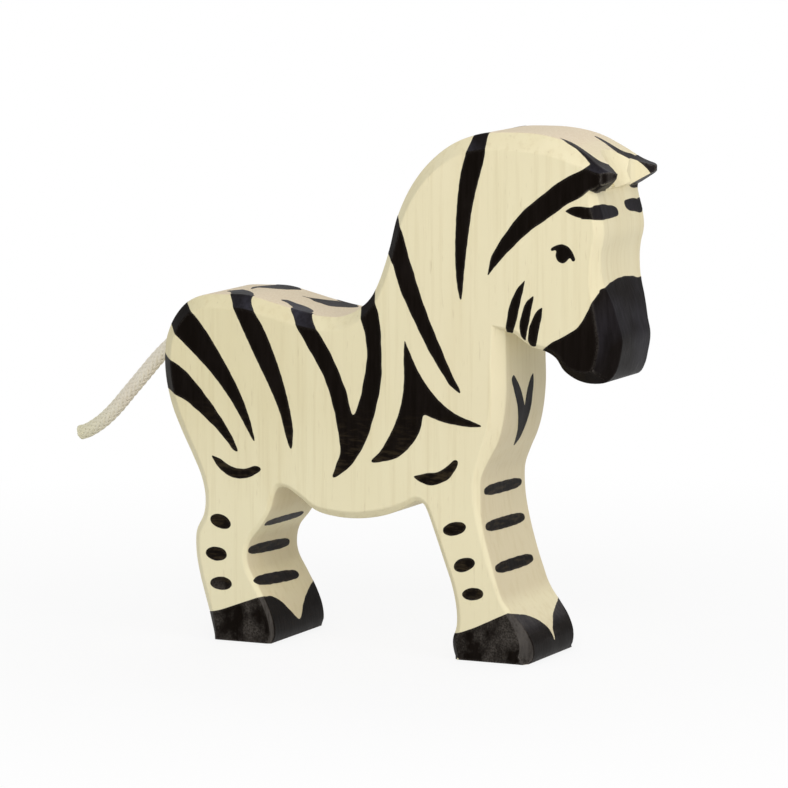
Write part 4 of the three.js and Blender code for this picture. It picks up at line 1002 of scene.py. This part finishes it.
def muzzle_stencil(seed):
    """The muzzle's paint, which rises in a low dome on the front of the face."""
    loop = mark_loop(MUZZLE, from_side, seed)
    dome = mark_loop(MUZZLE_DOME, from_front, seed)
    reach, face = HALF + OVERRUN, along_body(FACE_PLACE)
    prisms = [
        prism_object("muzzle", loop, -reach, reach, FROM_SIDE),
        prism_object("dome", dome, face - OVERRUN, face + OVERRUN, FROM_FRONT),
    ]
    return joined("stencil", prisms)


def hoof_stencil(hoof, seed):
    top = [from_side(x, z) for x, z in hoof["top"]]
    corners = [top[-1], (top[-1][0], HOOF_FOOT), (top[0][0], HOOF_FOOT)]
    loop = np.vstack([sample_run(top, MARK_STEP), corners])
    reach = HALF + OVERRUN
    band = prism_object("band", loop, -reach, reach, FROM_SIDE)
    notch = mark_loop(hoof["notch"], from_front, seed)
    face = along_body(hoof["place"])
    cut = prism_object("notch", notch, face - OVERRUN, face + 2 * OVERRUN, FROM_FRONT)
    made = apply_booleans(band, "DIFFERENCE", [cut], "stencil")
    discard(band, cut)
    return made


def all_marks():
    """Each painted mark's node name and a function that makes its stencil."""
    for word, side in (("right", -1), ("left", 1)):
        for mark in FLANK_MARKS:
            yield f"{word}_{mark['name']}", lambda seed, m=mark, s=side: flank_stencil(m, s, seed)
        for name, *dab in SIDE_DABS:
            yield f"{word}_{name}", lambda seed, d=dab, s=side: dab_stencil(s, *d, seed)
    for name, *bar in FRONT_BARS:
        yield name, lambda seed, b=bar: bar_stencil(*b, seed)
    for hoof in HOOVES:
        yield hoof["name"] + "_paint", lambda seed, h=hoof: hoof_stencil(h, seed)
    yield "chest_fork", chest_stencil
    yield "muzzle_paint", muzzle_stencil


# Cord tail


def bore_mouth():
    """The middle of the bore's mouth, and the way out of it."""
    x, z = from_side(*MOUTH_PLACE)
    return Vector((x, 0, z)), Vector((-math.cos(BORE_SLOPE), 0, -math.sin(BORE_SLOPE)))


def cord_points():
    """The free cord's route from the mouth of the bore to its cut end, in even short steps."""
    mouth, _ = bore_mouth()
    coarse = [(mouth.x + x * MM, mouth.z + z * MM) for x, z in CORD_ROUTE]
    fine = np.vstack([sample_run(coarse, ROUTE_STEP), coarse[-1]])
    return np.stack([fine[:, 0], np.zeros(len(fine)), fine[:, 1]], axis=1)


def along_line(points):
    """How far along its line each point lies."""
    step = np.linalg.norm(np.diff(points, axis=0), axis=1)
    return np.concatenate([[0], np.cumsum(step)])


def resampled(points, count):
    at = along_line(points)
    want = np.linspace(0, at[-1], count)
    return np.stack([np.interp(want, at, points[:, k]) for k in range(3)], axis=1)


def tangents(centre):
    tangent = np.gradient(centre, axis=0)
    return tangent / np.linalg.norm(tangent, axis=1)[:, None]


def tube_along(centre, across, radius, sides, vertices, faces, wide=1.0, thick=1.0):
    """Adds a closed tube round a centre line, made wider or thinner where it lies on the cord."""
    tangent = tangents(centre)
    first = np.cross(tangent, across)
    first /= np.linalg.norm(first, axis=1)[:, None]
    second = np.cross(tangent, first)
    base = len(vertices)
    count = len(centre)
    for i in range(count):
        for k in range(sides):
            turn = 2 * math.pi * k / sides
            flat = first[i] * math.cos(turn) * radius[i] * wide
            vertices.append(centre[i] + flat + second[i] * math.sin(turn) * radius[i] * thick)
    for i in range(count - 1):
        for k in range(sides):
            a, b = base + i * sides + k, base + i * sides + (k + 1) % sides
            faces.append((a, b, b + sides, a + sides))
    faces.append(tuple(base + k for k in reversed(range(sides))))
    faces.append(tuple(base + (count - 1) * sides + k for k in range(sides)))


def braid_object(name, route):
    """A round braid: strands wind both ways round a core and are held by glue at the cut end."""
    length = np.linalg.norm(np.diff(route, axis=0), axis=1).sum()
    count = max(8, round(length / BRAID_STEP))
    centre = resampled(route, count)
    side = np.tile((0.0, 1.0, 0.0), (count, 1))
    up = np.cross(side, tangents(centre))
    at = np.linspace(0, length, count)
    reach = CORD_DIAMETER / 2
    thin = np.full(count, STRAND_RADIUS)
    vertices, faces = [], []
    for strand in range(STRANDS):
        way = 1 if strand % 2 else -1
        turn = way * 2 * math.pi * at / BRAID_PITCH + 2 * math.pi * strand / STRANDS
        weave = way * np.sin(STRANDS / 4 * turn)
        radius = reach - STRAND_RADIUS + WEAVE_DEPTH * weave
        outward = side * np.sin(turn)[:, None] + up * np.cos(turn)[:, None]
        line = centre + outward * radius[:, None]
        flat = (STRAND_WIDE, STRAND_THICK)
        tube_along(line, outward, thin, STRAND_SIDES, vertices, faces, *flat)
    core = np.where(at > length - CUT_END_LENGTH, reach - CUT_END_SUNK, reach - CORE_SUNK)
    tube_along(centre, side, core, CORE_SIDES, vertices, faces)
    return new_object(name, vertices, faces)


# Materials


def linear(red, green, blue):
    """A colour as it looks on a screen, turned into light."""
    return tuple(
        (c / 12.92 if c <= 0.04045 else ((c + 0.055) / 1.055) ** 2.4)
        for c in (red, green, blue)
    ) + (1.0,)


def new_node(tree, kind, links=(), **values):
    """A node with sockets set from values and linked from other nodes' outputs."""
    node = tree.nodes.new("ShaderNode" + kind)
    for socket, value in values.items():
        node.inputs[socket].default_value = value
    for socket, source in dict(links).items():
        tree.links.new(source, node.inputs[socket])
    return node


class Look:
    """A Principled material and short calls that add nodes to it."""

    def __init__(self, name, roughness, specular=0.5):
        self.material = bpy.data.materials.new(name)
        self.material.use_nodes = True
        self.tree = self.material.node_tree
        self.shader = self.tree.nodes["Principled BSDF"]
        self.shader.inputs["Roughness"].default_value = roughness
        self.shader.inputs["Specular IOR Level"].default_value = specular
        self.coords = self.node("TexCoord")

    def node(self, kind, links=(), **values):
        return new_node(self.tree, kind, links, **values)

    def noise(self, scale, stretch=(1, 1, 1), detail=3.0, roughness=0.5, distortion=0.0):
        """A noise whose features are 1 / scale metres across, drawn out along the axes."""
        stretched = [scale * s for s in stretch]
        mapping = self.node("Mapping", {"Vector": self.coords.outputs["Object"]}, Scale=stretched)
        fine = {"Detail": detail, "Roughness": roughness, "Distortion": distortion}
        made = self.node("TexNoise", {"Vector": mapping.outputs["Vector"]}, Scale=1.0, **fine)
        return made.outputs["Fac"]

    def spread(self, value, low, high, to_low=0.0, to_high=1.0):
        ends = {"From Min": low, "From Max": high, "To Min": to_low, "To Max": to_high}
        return self.node("MapRange", {"Value": value}, **ends).outputs["Result"]

    def times(self, first, *factors):
        for factor in factors:
            first = self.math("MULTIPLY", first, factor)
        return first

    def math(self, operation, first, second):
        node = self.node("Math", {0: first})
        node.operation = operation
        if isinstance(second, (int, float)):
            node.inputs[1].default_value = second
        else:
            self.tree.links.new(second, node.inputs[1])
        return node.outputs["Value"]

    def mix(self, factor, first, second):
        node = self.node("Mix")
        node.data_type = "RGBA"
        self.tree.links.new(factor, node.inputs["Factor"])
        for socket, colour in (("A", first), ("B", second)):
            at = [s for s in node.inputs if s.name == socket and s.type == "RGBA"][0]
            if isinstance(colour, tuple):
                at.default_value = colour
            else:
                self.tree.links.new(colour, at)
        return [s for s in node.outputs if s.type == "RGBA"][0]

    def bump(self, height, distance, strength=1.0, under=None):
        links = {"Height": height} if under is None else {"Height": height, "Normal": under}
        return self.node("Bump", links, Strength=strength, Distance=distance).outputs["Normal"]

    def edges(self, radius, under=False):
        """Near 1 where the surface turns sharply within the radius, or where it turns down."""
        bevel = self.node("Bevel", Radius=radius)
        bevel.samples = 4
        normal = self.node("NewGeometry").outputs["Normal"]
        dot = self.node("VectorMath", {0: bevel.outputs["Normal"], 1: normal})
        dot.operation = "DOT_PRODUCT"
        sharp = self.spread(dot.outputs["Value"], 0.995, 0.93)
        if not under:
            return sharp
        parts = self.node("SeparateXYZ", {"Vector": bevel.outputs["Normal"]})
        return self.times(sharp, self.spread(parts.outputs["Z"], -0.12, -0.3))

    def part(self, coordinate, axis, low, high, to_low=0.0, to_high=1.0):
        parts = self.node("SeparateXYZ", {"Vector": self.coords.outputs[coordinate]})
        return self.spread(parts.outputs[axis], low, high, to_low, to_high)

    def facing(self, axis, low, high):
        """0 to 1 as the surface turns towards the axis; the board's fibres run along Z."""
        return self.part("Normal", axis, low, high)

    def height(self, *ends):
        """Changes between two heights above the floor."""
        return self.part("Object", "Z", *ends)

    def along(self, *ends):
        """Changes between two places along the body."""
        return self.part("Object", "X", *ends)

    def done(self, colour, roughness=None, normal=None):
        shown = (("Base Color", colour), ("Roughness", roughness), ("Normal", normal))
        for socket, value in shown:
            if value is not None:
                self.tree.links.new(value, self.shader.inputs[socket])
        return self.material


def maple_look():
    """Pale sanded maple with upright grain: soft bands, fine streaks, flecks and end grain."""
    look = Look("maple_wood", 0.55, 0.3)
    bands = look.noise(90, (1, 1, 0.09), detail=4, distortion=0.6)
    streaks = look.noise(620, (1, 1, 0.035), detail=4, roughness=0.6)
    flecks = look.noise(1500, (1, 1, 0.12), detail=2)
    pores = look.noise(2600, detail=2)
    blotch = look.noise(28, (1, 1, 0.5), detail=2)
    base = look.mix(
        look.spread(bands, 0.3, 0.7), linear(0.893, 0.852, 0.705), linear(0.915, 0.880, 0.742)
    )
    # Painted shade on the rump, painted light on the lower legs, and painted shade on the narrow
    # front and back faces of the legs
    rump_shade = look.times(look.along(0.015, -0.055, 0, 0.6), look.height(*RUMP_UP))
    base = look.mix(rump_shade, base, linear(0.872, 0.838, 0.672))
    pale = look.times(look.height(*LEG_DOWN), 0.55)
    base = look.mix(pale, base, linear(0.938, 0.908, 0.765))
    narrow_face_shade = look.math("MAXIMUM", look.facing("X", 0.7, 0.92), look.facing("X", -0.7, -0.92))
    narrow_face_shade = look.times(narrow_face_shade, look.height(*NARROW_DOWN, 0, 0.8))
    base = look.mix(narrow_face_shade, base, linear(0.842, 0.792, 0.66))
    base = look.mix(look.spread(streaks, 0.50, 0.78, 0, 0.36), base, linear(0.79, 0.73, 0.55))
    base = look.mix(look.spread(flecks, 0.66, 0.80, 0, 0.28), base, linear(0.68, 0.60, 0.43))
    base = look.mix(look.spread(blotch, 0.35, 0.75, 0, 0.15), base, linear(0.86, 0.78, 0.62))
    ends = look.mix(
        look.spread(pores, 0.35, 0.7), linear(0.885, 0.83, 0.72), linear(0.83, 0.755, 0.635)
    )
    base = look.mix(look.facing("Z", 0.80, 0.93), base, ends)
    rough = look.spread(streaks, 0.3, 0.7, 0.5, 0.62)
    normal = look.bump(streaks, 0.06 * MM, 0.5)
    normal = look.bump(flecks, 0.03 * MM, 0.5, normal)
    return look.done(base, rough, normal)


def paint_look():
    """Near-black brushed paint: a painted bluish sheen on top and front faces, thin dabs on the
    legs, worn hooves and edges, and worn streaks with a painted highlight on the bevels.
    """
    look = Look("black_paint", 0.4, 0.04)
    strokes = look.noise(900, (1, 1, 0.08), detail=4, roughness=0.65)
    across = look.noise(1300, (0.22, 0.22, 1), detail=3, roughness=0.6)
    cloud = look.noise(170, (1, 1, 0.7), detail=5, roughness=0.65)
    patch = look.noise(65, detail=2)
    grit = look.noise(2200, detail=2)
    base = look.mix(
        look.spread(strokes, 0.40, 0.78), linear(0.045, 0.024, 0.010), linear(0.088, 0.066, 0.054)
    )
    base = look.mix(look.spread(cloud, 0.5, 0.8, 0, 0.4), base, linear(0.115, 0.095, 0.085))
    # Painted sheen: a bluish grey on the top faces and on the front of the face, where they would
    # catch light
    front = look.times(look.facing("X", 0.6, 0.95), look.height(*FACE_UP, 0, 0.38))
    painted_sheen = look.times(
        look.math("MAXIMUM", front, look.facing("Z", 0.45, 0.75)),
        look.spread(patch, 0.4, 0.6, 0.15, 1),
        look.spread(strokes, 0.3, 0.62, 0.55, 1),
    )
    base = look.mix(painted_sheen, base, linear(0.225, 0.222, 0.255))
    # Thin paint in the marks on the legs
    streaky = look.spread(across, 0.47, 0.66, 0, 0.75)
    thin = look.times(look.height(*DAB_DOWN), streaky, look.height(*DAB_UP))
    base = look.mix(thin, base, linear(0.215, 0.18, 0.125))
    # Wear on the hooves' sides
    hoof = look.height(*HOOF_DOWN)
    worn = look.times(
        hoof,
        look.spread(cloud, 0.42, 0.62, 0, 0.95),
        look.spread(grit, 0.38, 0.62, 0.35, 1),
        look.facing("X", 0.95, 0.6),
    )
    base = look.mix(worn, base, linear(0.285, 0.268, 0.250))
    # A worn streak with a painted highlight along the ridge of the bevel, on the hooves and the
    # muzzle
    ridge_wear_and_highlight = look.times(
        look.facing("X", 0.25, 0.45),
        look.facing("X", 0.86, 0.68),
        look.math("MAXIMUM", hoof, look.height(*MUZZLE_UP, 0, 0.32)),
        look.spread(strokes, 0.36, 0.6, 0.3, 0.8),
    )
    base = look.mix(ridge_wear_and_highlight, base, linear(0.33, 0.315, 0.30))
    # Rubbed edges, and a pale rim under the ears
    rubbed = look.times(look.edges(0.7 * MM), look.spread(grit, 0.35, 0.6), 0.5)
    base = look.mix(rubbed, base, linear(0.38, 0.36, 0.34))
    under = look.edges(0.4 * MM, under=True)
    rim = look.times(under, look.height(*RIM_UP), look.height(*RIM_DOWN), 0.5)
    base = look.mix(rim, base, linear(0.75, 0.715, 0.61))
    rough = look.spread(cloud, 0.3, 0.7, 0.33, 0.48)
    normal = look.bump(strokes, 0.08 * MM, 0.6)
    normal = look.bump(grit, 0.03 * MM, 0.5, normal)
    return look.done(base, rough, normal)


def cotton_look():
    """Undyed cotton: fine fibres, a little soiling, and a yellowed cut end."""
    look = Look("cotton_cord", 0.9, 0.15)
    fibres = look.noise(3800, detail=4, roughness=0.7)
    soil = look.noise(260, detail=3)
    base = look.mix(
        look.spread(fibres, 0.3, 0.7), linear(0.875, 0.845, 0.775), linear(0.935, 0.912, 0.85)
    )
    base = look.mix(look.spread(soil, 0.5, 0.8, 0, 0.3), base, linear(0.86, 0.80, 0.70))
    base = look.mix(look.along(-0.078, -0.092, 0, 0.75), base, linear(0.845, 0.83, 0.69))
    look.shader.inputs["Sheen Weight"].default_value = 0.25
    look.shader.inputs["Sheen Roughness"].default_value = 0.6
    return look.done(base, None, look.bump(fibres, 0.08 * MM, 0.7))


def glue_look():
    """Dried wood glue: amber, slightly cloudy and uneven."""
    look = Look("wood_glue", 0.4, 0.5)
    cloud = look.noise(500, detail=3)
    base = look.mix(
        look.spread(cloud, 0.3, 0.7), linear(0.80, 0.72, 0.50), linear(0.88, 0.82, 0.62)
    )
    return look.done(base, None, look.bump(cloud, 0.05 * MM, 0.5))


def floor_look():
    """Pale and matt to the light, and nearly white to the camera and in reflections."""
    material = bpy.data.materials.new("floor_white")
    material.use_nodes = True
    tree = material.node_tree
    tree.nodes.clear()
    matt = new_node(tree, "BsdfDiffuse", Color=FLOOR_COLOUR)
    white = new_node(tree, "Emission", Color=(1, 1, 1, 1), Strength=1.0)
    rays = new_node(tree, "LightPath").outputs
    seen = new_node(tree, "Math", {0: rays["Is Camera Ray"], 1: rays["Is Glossy Ray"]})
    seen.operation = "MAXIMUM"
    seen_more = new_node(tree, "Math", {0: seen.outputs[0], 1: rays["Is Transmission Ray"]})
    seen_more.operation = "MAXIMUM"
    away = new_node(tree, "VectorMath", {0: new_node(tree, "TexCoord").outputs["Object"]})
    away.operation = "LENGTH"
    ends = {"From Min": FLOOR_NEAR, "From Max": FLOOR_FAR, "To Min": FLOOR_WHITE, "To Max": 1.0}
    whiten = new_node(tree, "MapRange", {"Value": away.outputs["Value"]}, **ends)
    amount = new_node(tree, "Math", {0: seen_more.outputs[0], 1: whiten.outputs["Result"]})
    amount.operation = "MULTIPLY"
    shaders = {0: amount.outputs[0], 1: matt.outputs[0], 2: white.outputs[0]}
    mixer = new_node(tree, "MixShader", shaders)
    new_node(tree, "OutputMaterial", {"Surface": mixer.outputs[0]})
    return material


# Camera, light and floor


def make_camera():
    data = bpy.data.cameras.new("camera")
    data.lens = LENS
    data.sensor_width = SENSOR
    data.clip_end = VIEW_CLIP
    camera = bpy.data.objects.new("camera", data)
    bpy.context.scene.collection.objects.link(camera)
    level = math.cos(VIEW_ELEVATION)
    x, y = math.sin(VIEW_AZIMUTH) * level, -math.cos(VIEW_AZIMUTH) * level
    back = Vector((x, y, math.sin(VIEW_ELEVATION)))
    camera.location = VIEW_TARGET + back * VIEW_DISTANCE
    camera.rotation_euler = back.to_track_quat("Z", "Y").to_euler()
    bpy.context.scene.camera = camera


def area_lamp(name, place, size, power, colour):
    data = bpy.data.lights.new(name, "AREA")
    data.shape = "DISK"
    data.size = size
    data.energy = power
    data.color = colour
    lamp = bpy.data.objects.new(name, data)
    lamp.location = place
    lamp.rotation_euler = (Vector(place) - LAMP_AIM).to_track_quat("Z", "Y").to_euler()
    bpy.context.scene.collection.objects.link(lamp)


def make_light():
    """The world is white to the camera and lights the figure at its own, lower strength."""
    world = bpy.data.worlds.new("world")
    world.use_nodes = True
    tree = world.node_tree
    background = tree.nodes["Background"]
    seen = new_node(tree, "LightPath").outputs["Is Camera Ray"]
    strength = new_node(tree, "MapRange", {"Value": seen}, **{"To Min": AMBIENT, "To Max": 1.0})
    tree.links.new(strength.outputs["Result"], background.inputs["Strength"])
    background.inputs["Color"].default_value = (1, 1, 1, 1)
    bpy.context.scene.world = world
    for lamp in LAMPS:
        area_lamp(*lamp)


def make_floor():
    bpy.ops.mesh.primitive_plane_add(size=FLOOR_SIZE, location=(0, 0, -FLOOR_DROP))
    floor = bpy.context.object
    floor.name = "floor"
    floor.data.materials.append(floor_look())


# The figure


def give_look(item, look):
    item.data.materials.clear()
    item.data.materials.append(look)


def dress(item, look, node_names):
    give_look(item, look)
    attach(item, "figure")
    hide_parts(*node_names)


def make_wood(look):
    board = board_object("board", 0.0)
    bpy.ops.mesh.primitive_cylinder_add(
        vertices=BORE_SIDES, radius=BORE_RADIUS, depth=BORE_DEPTH + OVERRUN
    )
    bore = bpy.context.object
    mouth, outward = bore_mouth()
    bore.rotation_euler = outward.to_track_quat("Z", "Y").to_euler()
    bore.location = mouth + outward * (OVERRUN - BORE_DEPTH) / 2
    cutters = [*scoop_objects(0.0), bore]
    wood = apply_booleans(board, "DIFFERENCE", cutters, "maple_board")
    discard(board, *cutters)
    finish_mesh(wood)
    dress(wood, look, ["wood_body"])


def scooped_board(skin):
    board, cutters = board_object("board", skin), scoop_objects(skin)
    made = apply_booleans(board, "DIFFERENCE", cutters, "scooped")
    discard(board, *cutters)
    return made


def make_marks(look):
    """Every mark as a thin film that lies just proud of the wood."""
    outer, inner = scooped_board(-PAINT_PROUD), scooped_board(PAINT_SUNK)
    film = apply_booleans(outer, "DIFFERENCE", [inner], "film")
    for seed, (node, stencil_of) in enumerate(all_marks(), start=1):
        stencil = stencil_of(seed)
        mark = apply_booleans(film, "INTERSECT", [stencil], "painted_" + node)
        discard(stencil)
        finish_mesh(mark)
        dress(mark, look, [node])
    discard(outer, inner, film)


def make_tail(look):
    """The braided cord: its free length, and the end that is glued in the bore."""
    route = cord_points()
    tail = braid_object("tail_braid", route)
    give_look(tail, look)
    finish_mesh(tail, BRAID_SHARP_ANGLE)
    start = Vector(route[0])
    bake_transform(tail)
    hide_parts("tail_cord")
    _, outward = bore_mouth()
    inner_end = start - outward * (BORE_DEPTH - GLUE_ROOM)
    steps = np.linspace(0, 1, GLUED_STEPS)[:, None]
    straight = np.array(inner_end) + (np.array(start) - np.array(inner_end)) * steps
    glued = braid_object("glued_braid", straight)
    finish_mesh(glued, BRAID_SHARP_ANGLE)
    dress(glued, look, ["tail_glued_end"])


bpy.context.scene.view_settings.view_transform = "Standard"
make_camera()
make_tail(cotton_look())
make_wood(maple_look())
make_marks(paint_look())
give_look(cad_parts["tail_glue"], glue_look())
make_floor()
make_light()
